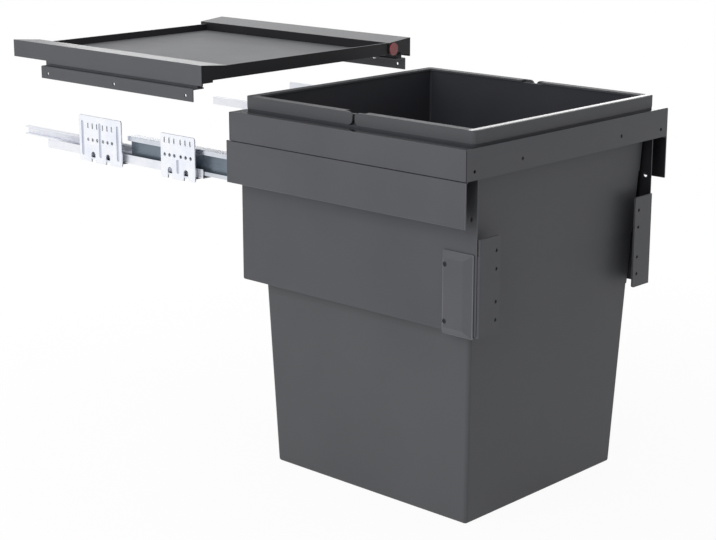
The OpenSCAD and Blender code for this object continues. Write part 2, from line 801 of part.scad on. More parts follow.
// Tapered block with round corners between two depths below the band, given by its half sizes at the
// band. Its sides draw in with depth as the bin's do.
module bin_taper(w, d, depth0, depth1, r) {
    hull() for (end = [[depth0, hair], [depth1, 0]]) {
        share = end[0] / bin_h;
        translate([0, (bin_taper_front - bin_taper_back) / 2 * share, z_band - end[0] - end[1]])
            for (i = [-1, 1]) for (j = [-1, 1])
                translate([i * (w - bin_taper_x * share - r),
                    j * (d - (bin_taper_front + bin_taper_back) / 2 * share - r), 0])
                    cylinder(r = r, h = hair, $fn = 32);
    }
}

// Part of the bin's outside between two depths below the band, standing out by a number of steps.
module bin_stage(depth0, depth1, steps) {
    out = (steps - bin_steps) * bin_step;
    bin_taper(bin_x + out, bin_y + out, depth0, depth1, bin_corner_r);
}

module bucket() {
    wall_top = rim_z1 - handle_t - lap;
    thick = bin_wall + bin_steps * bin_step;
    color(plastic) translate([0, mid_y, 0]) difference() {
        union() {
            bin_stage(0, step_first, bin_steps);
            bin_stage(step_first, step_second, bin_steps - 1);
            bin_stage(step_second, step_third, bin_steps - 2);
            bin_stage(step_third, bin_h, 0);
            translate([0, 0, z_band]) linear_extrude(rim_t)
                round_rect(ring_x - lap, ring_y - lap, ring_r - lap);
            translate([0, 0, z_band - hair]) linear_extrude(wall_top - z_band + hair)
                round_rect(bin_x, bin_y, bin_corner_r);
        }
        bin_taper(bin_x - thick, bin_y - thick, 0, bin_h - bin_wall, bin_corner_r - bin_wall);
        translate([0, 0, z_band - hair]) linear_extrude(wall_top - z_band + cut)
            round_rect(bin_x - thick, bin_y - thick, bin_corner_r - bin_wall);
        both_sides() for (k = [-1, 1])
            bar_x(handle_pin_d + 2 * fit_play, -bin_x - cut, handle_pin_seat - bin_x,
                k * (handle_gap / 2 + handle_pin_back), pin_z);
    }
}

// Half of the rim ring, in front of the bin's middle.
module half_ring() {
    z0 = z_band + rim_t + handle_lift;
    end_y = -handle_gap / 2;
    difference() {
        union() {
            ring_wall(handle_t, z0, rim_z1);
            ring_wall(handle_top_w, rim_z1 - handle_t, rim_z1);
        }
        block([-2 * ring_x, end_y, z0 - cut], [2 * ring_x, 2 * ring_y, rim_z1 + cut]);
        for (z = [[rim_z1 - handle_end_r, rim_z1 + cut], [z0 + handle_end_r, z0 - cut]]) difference() {
            block([-2 * ring_x, end_y - handle_end_r, min(z)], [2 * ring_x, end_y + cut, max(z)]);
            bar_x(2 * handle_end_r, -2 * ring_x, 2 * ring_x, end_y - handle_end_r, z[0]);
        }
        block([handle_t + lap - ring_x, end_y - handle_pin_back - handle_end_open, z0 - cut],
            [ring_x - handle_t - lap, end_y + cut, rim_z1 + cut]);
        both_sides()
            bar_x(handle_pin_d + 2 * fit_play, handle_pin_skin - ring_x, handle_t + cut - ring_x,
                end_y - handle_pin_back, pin_z);
    }
}

// Ring of a width t between two heights, inside the handles' outline.
module ring_wall(t, z0, z1) {
    translate([0, 0, z0]) linear_extrude(z1 - z0) difference() {
        round_rect(ring_x, ring_y, ring_r);
        round_rect(ring_x - t, ring_y - t, ring_r - handle_t);
    }
}

module front_handle() {
    color(plastic) translate([0, mid_y, 0]) half_ring();
}

module rear_handle() {
    color(plastic) translate([0, mid_y, 0]) mirror([0, 1, 0]) half_ring();
}

module handle_pins() {
    color(black) translate([0, mid_y, 0]) both_sides() for (k = [-1, 1])
        bar_x(handle_pin_d, handle_pin_skin - ring_x, handle_pin_seat - bin_x,
            k * (handle_gap / 2 + handle_pin_back), pin_z);
}

// Lid that stays in the cabinet

// Rail with a closed top, sides and ends, open below, with a seat on the wall angle.
module lid_rail(side) {
    w0 = -lid_x;
    w1 = -lid_in;
    color(steel) on_side(side) difference() {
        union() {
            difference() {
                block([w0, lid_y0, z_skirt], [w1, lid_y1, z_lid1]);
                along_rail(lid_y0 + lid_wall, lid_y1 - lid_wall) polygon([
                    [w0 + lid_wall, z_skirt - cut],
                    [w1 - lid_wall, z_skirt - cut],
                    [w1 - lid_wall, z_lid1 - lid_wall - rail_fall],
                    [w0 + lid_wall, z_lid1 - lid_wall]
                ]);
                block([w0 + lid_wall, lid_y0 - cut, z_skirt - cut], [w1 + cut, lid_y1 + cut, z_lid0]);
                block([w0 - cut, lid_y1 - skirt_back, z_skirt - cut], [w1 + cut, lid_y1 + cut, z_lid0]);
                block([-tongue_x - cut, lid_y0 - cut, z_skirt - cut],
                    [w1 + cut, lid_y1 + cut, z_tray - lid_wall]);
            }
            block([-seat_x1, angle_y0, z_angle1], [-seat_x0, angle_y1, z_lid1 - lid_wall]);
            for (y = lid_screw_ys) translate([-tray_screw_x, y, z_tray - lid_wall])
                cylinder(d = boss_d, h = z_lid1 - z_tray);
        }
        rail_fall_cut();
        for (y = lid_screw_ys) {
            translate([-tray_screw_x, y, z_tray - lid_wall - cut])
                cylinder(d = lid_screw_d + 2 * fit_play, h = tray_sink - lid_wall);
            translate([-angle_screw_x, y, z_angle1 - cut])
                cylinder(d = lid_screw_d + 2 * fit_play, h = lid_rail_h - 2 * lid_wall);
        }
    }
}

// Draws a flat shape out along the lid's rails.
module along_rail(y0, y1) {
    translate([0, y1, 0]) rotate([90, 0, 0]) linear_extrude(y1 - y0) children();
}

// Wedge that lets the rail's top fall towards the tray.
module rail_fall_cut() {
    outer = rail_edge - lid_x;
    inner = hair - lid_in;
    along_rail(lid_y0 - cut, lid_y1 + cut) polygon([
        [outer, z_lid1],
        [inner, z_lid1 - rail_fall],
        [inner, z_lid1 + hair],
        [outer, z_lid1 + hair]
    ]);
}

module lid_tray() {
    y0 = lid_y0 + tray_setback;
    y1 = lid_y1 - tray_back_setback;
    floor_z = z_tray - lid_wall;
    color(steel) difference() {
        union() {
            block([-lid_in, y0, floor_z], [lid_in, y1, z_tray]);
            block([-lid_in, y0, z_tray - tray_lip_drop], [lid_in, y0 + lid_wall, z_lid1 - rail_fall]);
            block([-lid_in, y1 - lid_wall, floor_z], [lid_in, y1, z_tray + tray_back_h]);
            both_sides()
                block([-tongue_x, y0 + lid_wall, floor_z - lid_wall], [-lid_in + lid_wall, y1, floor_z]);
        }
        both_sides() for (y = lid_screw_ys)
            translate([-tray_screw_x, y, floor_z - lid_wall - cut])
                cylinder(d = lid_screw_d + 2 * fit_play, h = lid_wall + 2 * cut);
    }
}

module lid_wall_angle(side) {
    x0 = -wall_x;
    color(steel) on_side(side) difference() {
        union() {
            block([x0, angle_y0, z_angle0], [x0 + wall_angle_t, angle_y1, z_angle1]);
            block([x0, angle_y0, z_angle1 - wall_angle_t], [x0 + wall_angle_w, angle_y1, z_angle1]);
        }
        for (y = angle_holes)
            bar_x(wall_angle_hole_d, x0 - cut, x0 + wall_angle_t + cut, y, angle_hole_z);
        for (y = lid_screw_ys) translate([-angle_screw_x, y, z_angle1 - wall_angle_t - cut])
            cylinder(d = lid_screw_d + 2 * fit_play, h = wall_angle_t + 2 * cut);
    }
}

// Screw along Z whose head seats under the height given.
module lid_screw(seat_z, length) {
    translate([0, 0, seat_z]) cylinder(d = lid_screw_d, h = length);
    translate([0, 0, seat_z - lid_screw_head_h])
        cylinder(d1 = lid_screw_head_d * head_crown, d2 = lid_screw_head_d, h = lid_screw_head_h);
}

module lid_screws() {
    color(zinc) both_sides() for (y = lid_screw_ys) {
        translate([-tray_screw_x, y, 0]) lid_screw(z_tray - 2 * lid_wall, tray_sink - lid_wall);
        translate([-angle_screw_x, y, 0]) lid_screw(z_angle1 - wall_angle_t, lid_rail_h - 2 * lid_wall);
    }
}

module lid_badge() {
    color("#b3262e")
        bar_y(badge_d / 2, lid_in + badge_in, lid_y0 - badge_t, lid_y0,
            z_lid1 - rail_fall - badge_d / 2 - lap);
}

lid_tray();
lid_rail("left");  // lid_left_rail
lid_rail("right");  // lid_right_rail
lid_wall_angle("left");  // lid_left_wall_angle
lid_wall_angle("right");  // lid_right_wall_angle
lid_screws();
lid_badge();
front_wall_bracket("left");  // left_front_wall_bracket
front_wall_bracket("right");  // right_front_wall_bracket
rear_wall_bracket("left");  // left_rear_wall_bracket
rear_wall_bracket("right");  // right_rear_wall_bracket
support_angle("left");  // left_support_angle
support_angle("right");  // right_support_angle
cabinet_rail("left");  // left_cabinet_rail
cabinet_rail("right");  // right_cabinet_rail
bracket_rivets();
rail_rivets();
intermediate_rail("left");  // left_intermediate_rail
intermediate_rail("right");  // right_intermediate_rail
outer_cage("left");  // left_outer_cage
outer_cage("right");  // right_outer_cage
outer_balls("left");  // left_outer_balls
outer_balls("right");  // right_outer_balls
inner_cage("left");  // left_inner_cage
inner_cage("right");  // right_inner_cage
inner_balls("left");  // left_inner_balls
inner_balls("right");  // right_inner_balls
drawer_rail("left");  // left_drawer_rail
drawer_rail("right");  // right_drawer_rail
front_band();
rear_band();
upper_band("left");  // left_upper_band
upper_band("right");  // right_upper_band
slide_cover("left");  // left_slide_cover
slide_cover("right");  // right_slide_cover
side_panel("left");  // left_side_panel
side_panel("right");  // right_side_panel
door_bracket("left");  // left_door_bracket
door_bracket("right");  // right_door_bracket
bracket_cover("left");  // left_bracket_cover
bracket_cover("right");  // right_bracket_cover
adjuster_screws();
bucket();
front_handle();
rear_handle();
handle_pins();
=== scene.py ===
"""Pull-out bin frame on its runners, with the hanging bin and the fixed lid, dressed for a studio picture."""

import json
import logging
import math
from contextlib import contextmanager
from dataclasses import dataclass, field
from enum import Enum
from functools import partial
from typing import Callable, Iterator, Sequence

import bmesh
import bpy
from mathutils import Matrix, Vector

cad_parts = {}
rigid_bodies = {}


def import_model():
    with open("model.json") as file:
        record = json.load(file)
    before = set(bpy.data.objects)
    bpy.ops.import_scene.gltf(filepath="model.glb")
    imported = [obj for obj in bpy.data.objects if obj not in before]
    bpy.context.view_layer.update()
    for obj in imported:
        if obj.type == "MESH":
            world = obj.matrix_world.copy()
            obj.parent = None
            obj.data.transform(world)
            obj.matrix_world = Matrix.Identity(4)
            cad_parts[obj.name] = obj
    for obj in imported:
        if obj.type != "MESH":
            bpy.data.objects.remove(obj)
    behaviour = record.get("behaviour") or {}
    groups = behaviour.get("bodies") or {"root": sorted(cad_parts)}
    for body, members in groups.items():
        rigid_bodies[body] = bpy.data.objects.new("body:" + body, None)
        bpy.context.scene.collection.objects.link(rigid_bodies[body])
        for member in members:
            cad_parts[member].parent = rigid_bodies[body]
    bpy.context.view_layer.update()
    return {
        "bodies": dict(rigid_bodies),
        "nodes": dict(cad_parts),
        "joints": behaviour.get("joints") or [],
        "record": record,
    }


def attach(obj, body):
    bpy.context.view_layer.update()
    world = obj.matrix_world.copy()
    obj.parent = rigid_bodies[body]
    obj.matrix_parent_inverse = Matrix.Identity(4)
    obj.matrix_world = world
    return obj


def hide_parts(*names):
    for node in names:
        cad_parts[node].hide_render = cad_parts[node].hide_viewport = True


LOG = logging.getLogger("pull_out_bin")
Point = tuple[float, float, float]
Flat = tuple[float, float]
Piece = bpy.types.Object
Node = bpy.types.Node
Test = Callable[[Vector, Vector], bool]

# Metres in a millimetre, and how close places and directions count as the same
MM = 0.001
NEAR = 0.01
ALONG = 0.9
FACING = 0.7

# How far cutting tools reach past a face, radii of holes and places of the adjuster screws, in millimetres
PAST = 2.0
SCREW_HOLE = 2.25
THREAD_HOLE = 1.85
RIVET_HOLE = 2.1
ADJUSTER_Y = 47.5
ADJUSTER_ZS = (-188.0, -118.0)

# Angles in degrees from which an edge is broken and from which it is shaded sharp
BREAK_ANGLE = 35.0
CREASE = 32.0
SIDES = ("left", "right")

# Weights of fine patterns on slower ones, and the roughness of all clear coats
TONE_WEIGHT = 0.35
GRAIN_WEIGHT = 0.35
CRYSTAL_WEIGHT = 0.4
COAT_ROUGHNESS = 0.12


class Axis(Enum):
    """Direction along which an outline is drawn out."""

    X = 0
    Y = 1
    Z = 2


class Slot(Enum):
    """Material slots of the record."""

    STEEL = "painted_steel"
    MOULDING = "anthracite_plastic"
    BIN = "bin_plastic"
    ZINC = "zinc"
    BADGE = "red_badge"


def linear(code: str) -> tuple[float, float, float, float]:
    """Turns a screen colour, as #rrggbb, into the linear values that shaders take."""
    parts = [int(code[i:i + 2], 16) / 255 for i in (1, 3, 5)]
    values = [p / 12.92 if p <= 0.04045 else ((p + 0.055) / 1.055) ** 2.4 for p in parts]
    return values[0], values[1], values[2], 1.0


def quarter(centre: Flat, radius: float, turn: int, steps: int = 8) -> list[Flat]:
    """Points of a quarter circle, anticlockwise.

    Args:
        centre: Its centre.
        radius: Its radius.
        turn: Number of right angles at which it starts.
        steps: Number of its straight pieces.

    Returns:
        The points.
    """
    angles = [math.pi / 2 * (turn + k / steps) for k in range(steps + 1)]
    return [(centre[0] + radius * math.cos(a), centre[1] + radius * math.sin(a)) for a in angles]


def rounded(half_w: float, half_d: float, radius: float, middle: Flat = (0, 0), steps: int = 8) -> list[Flat]:
    """Outline of a rectangle with round corners.

    Args:
        half_w: Half of its first size.
        half_d: Half of its second size.
        radius: Corner radius.
        middle: Middle of the rectangle.
        steps: Straight pieces in each corner.

    Returns:
        The outline's points, anticlockwise.
    """
    points = []
    for turn, (i, j) in enumerate(((1, 1), (-1, 1), (-1, -1), (1, -1))):
        centre = (middle[0] + i * (half_w - radius), middle[1] + j * (half_d - radius))
        points += quarter(centre, radius, turn, steps)
    return points


class Bench:
    """Modelling bench: Blender's operators with sizes in millimetres."""

    @staticmethod
    def clear() -> None:
        """Leaves edit mode and deselects everything."""
        if bpy.context.object and bpy.context.object.mode != "OBJECT":
            bpy.ops.object.mode_set(mode="OBJECT")
        bpy.ops.object.select_all(action="DESELECT")

    @classmethod
    def pick(cls, *pieces: Piece) -> None:
        """Selects pieces and makes the first one active."""
        cls.clear()
        for piece in pieces:
            piece.select_set(True)
        bpy.context.view_layer.objects.active = pieces[0]

    @classmethod
    @contextmanager
    def edit(cls, piece: Piece, mode: str = "FACE") -> Iterator[bmesh.types.BMesh]:
        """Opens a piece in edit mode with nothing selected; mode is VERT, EDGE or FACE."""
        cls.pick(piece)
        bpy.ops.object.mode_set(mode="EDIT")
        bpy.ops.mesh.select_mode(type=mode)
        bpy.ops.mesh.select_all(action="DESELECT")
        yield bmesh.from_edit_mesh(piece.data)
        bpy.ops.object.mode_set(mode="OBJECT")

    @staticmethod
    def mark(piece: Piece, chosen: Callable[[bmesh.types.BMFace], bool]) -> None:
        """Selects the faces of a piece in edit mode that a test picks, and no others."""
        bpy.ops.mesh.select_all(action="DESELECT")
        mesh = bmesh.from_edit_mesh(piece.data)
        for face in mesh.faces:
            face.select = chosen(face)
        bmesh.update_edit_mesh(piece.data)

    @staticmethod
    def outward() -> None:
        """Turns all normals of the piece in edit mode outwards."""
        bpy.ops.mesh.select_all(action="SELECT")
        bpy.ops.mesh.normals_make_consistent(inside=False)

    @classmethod
    def block(cls, name: str, low: Point, high: Point) -> Piece:
        """Cube primitive stretched between two corners."""
        cls.clear()
        bpy.ops.mesh.primitive_cube_add(size=1, location=[(a + b) / 2 * MM for a, b in zip(low, high)])
        piece = bpy.context.object
        piece.name = name
        piece.scale = [(b - a) * MM for a, b in zip(low, high)]
        bpy.ops.object.transform_apply(location=True, rotation=False, scale=True)
        return piece

    @classmethod
    def rod(cls, name: str, radius: float, axis: Axis, start: Point, length: float, sides: int = 32) -> Piece:
        """Cylinder primitive along an axis.

        Args:
            name: Name of the piece.
            radius: Its radius.
            axis: Its direction.
            start: Middle of its first end.
            length: Its length.
            sides: Number of its sides.

        Returns:
            The rod.
        """
        cls.clear()
        middle = list(start)
        middle[axis.value] += length / 2
        turn = {Axis.X: (0, math.pi / 2, 0), Axis.Y: (math.pi / 2, 0, 0), Axis.Z: (0, 0, 0)}[axis]
        bpy.ops.mesh.primitive_cylinder_add(vertices=sides, radius=radius * MM, depth=length * MM,
                                            location=[m * MM for m in middle], rotation=turn)
        piece = bpy.context.object
        piece.name = name
        bpy.ops.object.transform_apply(location=True, rotation=True, scale=True)
        return piece

    @classmethod
    def holes(cls, radius: float, axis: Axis, places: Sequence[Point], thick: float,
              sides: int = 32) -> list[Piece]:
        """Rods that cut holes or grooves right through a piece.

        Args:
            radius: Their radius.
            axis: Their direction.
            places: Their places on the face where they enter.
            thick: How thick the piece is along them.
            sides: Number of their sides.

        Returns:
            The rods.
        """
        back = [PAST if other is axis else 0 for other in Axis]
        starts = [tuple(p - b for p, b in zip(place, back)) for place in places]
        return [cls.rod("hole", radius, axis, start, thick + 2 * PAST, sides) for start in starts]

    @classmethod
    def drawn(cls, name: str, outline: Sequence[Flat], axis: Axis, low: float, high: float) -> Piece:
        """Outline drawn out along an axis, from a circle primitive with one corner for each point.

        Args:
            name: Name of the piece.
            outline: Points across the axis, in the order of the two other axes.
            axis: Direction of the extrusion.
            low: Where the extrusion starts.
            high: Where it ends.

        Returns:
            The solid.
        """
        cls.clear()
        bpy.ops.mesh.primitive_circle_add(vertices=len(outline), radius=1, fill_type="NGON",
                                          location=(0, 0, 0))
        piece = bpy.context.object
        piece.name = name
        for vertex, point in zip(piece.data.vertices, outline):
            place = list(point)
            place.insert(axis.value, low)
            vertex.co = [p * MM for p in place]
        move = [0.0, 0.0, 0.0]
        move[axis.value] = (high - low) * MM
        with cls.edit(piece):
            bpy.ops.mesh.select_all(action="SELECT")
            bpy.ops.mesh.extrude_region_move(TRANSFORM_OT_translate={"value": move})
            cls.outward()
        return piece

    @classmethod
    def _boolean(cls, piece: Piece, tools: Sequence[Piece], operation: str) -> None:
        """Applies one boolean for each tool and removes the tools."""
        for tool in tools:
            cls.pick(piece)
            change = piece.modifiers.new("shape", "BOOLEAN")
            change.operation = operation
            change.solver = "EXACT"
            change.object = tool
            bpy.ops.object.modifier_apply(modifier=change.name)
            bpy.data.objects.remove(tool, do_unlink=True)

    @classmethod
    def cut(cls, piece: Piece, *tools: Piece) -> None:
        """Takes the tools' shapes out of a piece."""
        cls._boolean(piece, tools, "DIFFERENCE")

    @classmethod
    def weld(cls, piece: Piece, *others: Piece) -> None:
        """Makes other solids one with a piece."""
        cls._boolean(piece, others, "UNION")
        with cls.edit(piece):
            bpy.ops.mesh.select_all(action="SELECT")
            bpy.ops.mesh.remove_doubles(threshold=0.005 * MM)
            bpy.ops.mesh.dissolve_limited(angle_limit=math.radians(0.5))

    @classmethod
    def join(cls, name: str, *pieces: Piece) -> Piece:
        """Puts several solids into one object."""
        cls.pick(*pieces)
        bpy.ops.object.join()
        bpy.context.object.name = name
        return bpy.context.object

    @classmethod
    def round_edges(cls, piece: Piece, radius: float, segments: int, chosen: Test) -> None:
        """Bevels the edges that a test picks.

        Args:
            piece: The piece.
            radius: Bevel width.
            segments: Bevel segments.
            chosen: Test on an edge's middle in millimetres and its direction without signs.
        """
        with cls.edit(piece, "EDGE") as mesh:
            for edge in mesh.edges:
                start, end = (v.co for v in edge.verts)
                along = Vector([abs(a) for a in (end - start).normalized()])
                if chosen((start + end) / 2 / MM, along):
                    edge.select = True
            bmesh.update_edit_mesh(piece.data)
            bpy.ops.mesh.bevel(offset=radius * MM, segments=segments, affect="EDGES", clamp_overlap=True)

    @classmethod
    def soften(cls, piece: Piece, radius: float, segments: int = 2, edge_slot: int = 0) -> None:
        """Breaks all sharp edges with a bevel modifier.

        Args:
            piece: The piece.
            radius: Bevel width.
            segments: Bevel segments.
            edge_slot: Finish slot that the bevels take.
        """
        cls.pick(piece)
        while len(piece.data.materials) <= edge_slot:
            piece.data.materials.append(None)
        change = piece.modifiers.new("edges", "BEVEL")
        change.width = radius * MM
        change.segments = segments
        change.limit_method = "ANGLE"
        change.angle_limit = math.radians(BREAK_ANGLE)
        change.miter_outer = "MITER_ARC"
        change.material = edge_slot
        bpy.ops.object.modifier_apply(modifier=change.name)

    @classmethod
    def smooth(cls, piece: Piece, angle: float) -> None:
        """Shades a piece smooth up to an angle between faces, with its large faces kept flat."""
        cls.pick(piece)
        bpy.ops.object.shade_smooth_by_angle(angle=math.radians(angle))
        change = piece.modifiers.new("flat faces", "WEIGHTED_NORMAL")
        change.keep_sharp = True
        bpy.ops.object.modifier_apply(modifier=change.name)

    @classmethod
    def copy(cls, piece: Piece, name: str, move: Point = (0, 0, 0)) -> Piece:
        """Copy of a piece with a mesh of its own, moved in millimetres."""
        cls.pick(piece)
        bpy.ops.object.duplicate(linked=False)
        twin = bpy.context.object
        twin.name = name
        twin.location = [m * MM for m in move]
        bpy.ops.object.transform_apply(location=True, rotation=False, scale=False)
        return twin

    @classmethod
    def mirrored(cls, piece: Piece, name: str, scale: Point = (-1, 1, 1), move: Point = (0, 0, 0)) -> Piece:
        """Mirror image of a piece, with its normals set right again.

        Args:
            piece: The piece.
            name: Name of its image.
            scale: Signs of the three axes.
            move: Way that the image is moved afterwards.

        Returns:
            The image.
        """
        twin = cls.copy(piece, name)
        twin.scale = scale
        twin.location = [m * MM for m in move]
        bpy.ops.object.transform_apply(location=True, rotation=False, scale=True)
        with cls.edit(twin):
            cls.outward()
        return twin

    @staticmethod
    def paint(piece: Piece, slot: int, chosen: Test) -> None:
        """Gives a finish slot to the faces that a test on their middle and normal picks."""
        for face in piece.data.polygons:
            if chosen(face.center / MM, face.normal):
                face.material_index = slot


class Graph:
    """Node tree with short ways to add and wire nodes."""

    def __init__(self, tree: bpy.types.NodeTree) -> None:
        """Takes the tree."""
        self.tree = tree

    @classmethod
    def group(cls, name: str, scale: float, *outputs: str) -> tuple["Graph", Node, Node]:
        """Makes a node group that takes a place and a scale.

        Args:
            name: Name of the group.
            scale: First value of its scale.
            outputs: Names of the values it gives.

        Returns:
            The group's graph, its input node and its output node.
        """
        graph = cls(bpy.data.node_groups.new(name, "ShaderNodeTree"))
        sockets = graph.tree.interface
        sockets.new_socket(name="Vector", in_out="INPUT", socket_type="NodeSocketVector")
        sockets.new_socket(name="Scale", in_out="INPUT", socket_type="NodeSocketFloat").default_value = scale
        for output in outputs:
            sockets.new_socket(name=output, in_out="OUTPUT", socket_type="NodeSocketFloat")
        return graph, graph.tree.nodes.new("NodeGroupInput"), graph.tree.nodes.new("NodeGroupOutput")

    def add(self, kind: str, values: dict | None = None, operation: str = "") -> Node:
        """Adds a node.

        Args:
            kind: Its type without the common prefix.
            values: Values of its inputs, by name or place.
            operation: What it works out, where it has a choice.

        Returns:
            The node.
        """
        node = self.tree.nodes.new("ShaderNode" + kind)
        if operation:
            node.operation = operation
        for key, value in (values or {}).items():
            node.inputs[key].default_value = value
        return node

    def wire(self, *links: tuple[Node, str, Node, str | int]) -> None:
        """Joins nodes' outputs to nodes' inputs, each given by name or place."""
        for source, output, target, entry in links:
            self.tree.links.new(source.outputs[output], target.inputs[entry])


class Texture(Enum):
    """Fine structure of a finish."""

    GRAIN = "fine grain"
    DRAWN = "rolled lines"
    SPANGLE = "zinc crystals"


class Effects:
    """Effects that the finishes share, each built once as a node group with a mask and mostly a height."""

    def __init__(self) -> None:
        """Builds the groups."""
        self.drift = self._drift()
        self.fine = {Texture.GRAIN: self._grain(), Texture.DRAWN: self._drawn(),
                     Texture.SPANGLE: self._spangle()}

    @staticmethod
    def _noisy(name: str, scale: float, detail: float, rough: float,
               *outputs: str) -> tuple[Graph, Node, Node, Node]:
        """Starts a group with a noise texture.

        Args:
            name: Name of the group.
            scale: First value of its scale.
            detail: Detail of the noise.
            rough: Roughness of the noise.
            outputs: Names of the values it gives.

        Returns:
            The group's graph, its input node, its output node and the noise.
        """
        graph, start, end = Graph.group(name, scale, *outputs)
        noise = graph.add("TexNoise", {"Detail": detail, "Roughness": rough})
        graph.wire((start, "Vector", noise, "Vector"), (start, "Scale", noise, "Scale"))
        return graph, start, end, noise

    @staticmethod
    def _mask(graph: Graph, noise: Node, end: Node, low: float, high: float) -> None:
        """Spreads a noise's middle values, from low to high, over the whole mask."""
        spread = graph.add("MapRange", {"From Min": low, "From Max": high})
        graph.wire((noise, "Fac", spread, "Value"), (spread, "Result", end, "Mask"))

    def _drift(self) -> bpy.types.NodeTree:
        """Slow change of tone across a sheet or a moulding."""
        graph, _, end, noise = self._noisy("tone drift", 9, 3, 0.55, "Mask")
        self._mask(graph, noise, end, 0.3, 0.7)
        return graph.tree

    def _grain(self) -> bpy.types.NodeTree:
        """Fine grain of a powder coat or of an eroded mould."""
        graph, start, end, noise = self._noisy(Texture.GRAIN.value, 900, 2, 0.6, "Mask", "Height")
        self._mask(graph, noise, end, 0.32, 0.68)
        cells = graph.add("TexVoronoi")
        blend = graph.add("Math", {1: GRAIN_WEIGHT}, "MULTIPLY_ADD")
        graph.wire((start, "Vector", cells, "Vector"), (start, "Scale", cells, "Scale"),
                   (cells, "Distance", blend, 0), (noise, "Fac", blend, 2), (blend, "Value", end, "Height"))
        return graph.tree

    def _drawn(self) -> bpy.types.NodeTree:
        """Long lines that rolling leaves along a rail."""
        graph, start, end, noise = self._noisy(Texture.DRAWN.value, 1, 3, 0.6, "Mask", "Height")
        self._mask(graph, noise, end, 0.3, 0.7)
        stretch = graph.add("Mapping", {"Scale": (900, 6, 900)})
        graph.wire((start, "Vector", stretch, "Vector"), (stretch, "Vector", noise, "Vector"),
                   (noise, "Fac", end, "Height"))
        return graph.tree

    def _spangle(self) -> bpy.types.NodeTree:
        """Faint crystals of a zinc plate."""
        graph, start, end, noise = self._noisy(Texture.SPANGLE.value, 220, 4, 0.6, "Mask", "Height")
        cells = graph.add("TexVoronoi")
        split = graph.add("SeparateColor")
        blend = graph.add("Math", {1: CRYSTAL_WEIGHT}, "MULTIPLY_ADD")
        graph.wire((start, "Vector", cells, "Vector"), (start, "Scale", cells, "Scale"),
                   (cells, "Color", split, "Color"), (split, "Red", blend, 0), (noise, "Fac", blend, 2),
                   (blend, "Value", end, "Mask"), (noise, "Fac", end, "Height"))
        return graph.tree


@dataclass(frozen=True)
class Finish:
    """Procedural finish of one material.

    Attributes:
        name: Name of the material.
        dark: Darker tone of its colour.
        light: Lighter tone of its colour.
        smooth: Roughness where the fine structure is low.
        rough: Roughness where it is high.
        texture: Its fine structure.
        scale: Scale of the fine structure.
        drift: Scale of the slow change of tone.
        relief: Strength of the bump.
        depth: Height of the bump in metres.
        metal: Metallic share.
        gloss: Specular level.
        coat: Clear coat weight.
    """

    name: str
    dark: str
    light: str
    smooth: float
    rough: float
    texture: Texture = Texture.GRAIN
    scale: float = 900
    drift: float = 9
    relief: float = 0.25
    depth: float = 0.00008
    metal: float = 0.0
    gloss: float = 0.5
    coat: float = 0.0

    def material(self, effects: Effects) -> bpy.types.Material:
        """Builds the material's nodes round the shared effects."""
        material = bpy.data.materials.new(self.name)
        material.use_nodes = True
        graph = Graph(material.node_tree)
        shader = material.node_tree.nodes["Principled BSDF"]
        for name, value in (("Metallic", self.metal), ("Specular IOR Level", self.gloss),
                            ("Coat Weight", self.coat), ("Coat Roughness", COAT_ROUGHNESS)):
            shader.inputs[name].default_value = value
        place = graph.add("TexCoord")
        drift, fine = graph.add("Group"), graph.add("Group")
        for node, tree, scale in ((drift, effects.drift, self.drift),
                                  (fine, effects.fine[self.texture], self.scale)):
            node.node_tree = tree
            node.inputs["Scale"].default_value = scale
            graph.wire((place, "Object", node, "Vector"))
        both = graph.add("Math", {1: TONE_WEIGHT}, "MULTIPLY_ADD")
        tone = graph.add("Mix")
        tone.data_type = "RGBA"
        tone.inputs["A"].default_value = linear(self.dark)
        tone.inputs["B"].default_value = linear(self.light)
        haze = graph.add("MapRange", {"To Min": self.smooth, "To Max": self.rough})
        bump = graph.add("Bump", {"Strength": self.relief, "Distance": self.depth})
        graph.wire((fine, "Mask", both, 0), (drift, "Mask", both, 2), (both, "Value", tone, "Factor"),
                   (tone, "Result", shader, "Base Color"), (fine, "Mask", haze, "Value"),
                   (haze, "Result", shader, "Roughness"), (fine, "Height", bump, "Height"),
                   (bump, "Normal", shader, "Normal"))
        return material


plated = partial(Finish, texture=Texture.SPANGLE, scale=220, drift=30, relief=0.15, depth=0.00005, metal=0.8)
rolled = partial(Finish, texture=Texture.DRAWN, scale=1, relief=0.2, depth=0.00003)


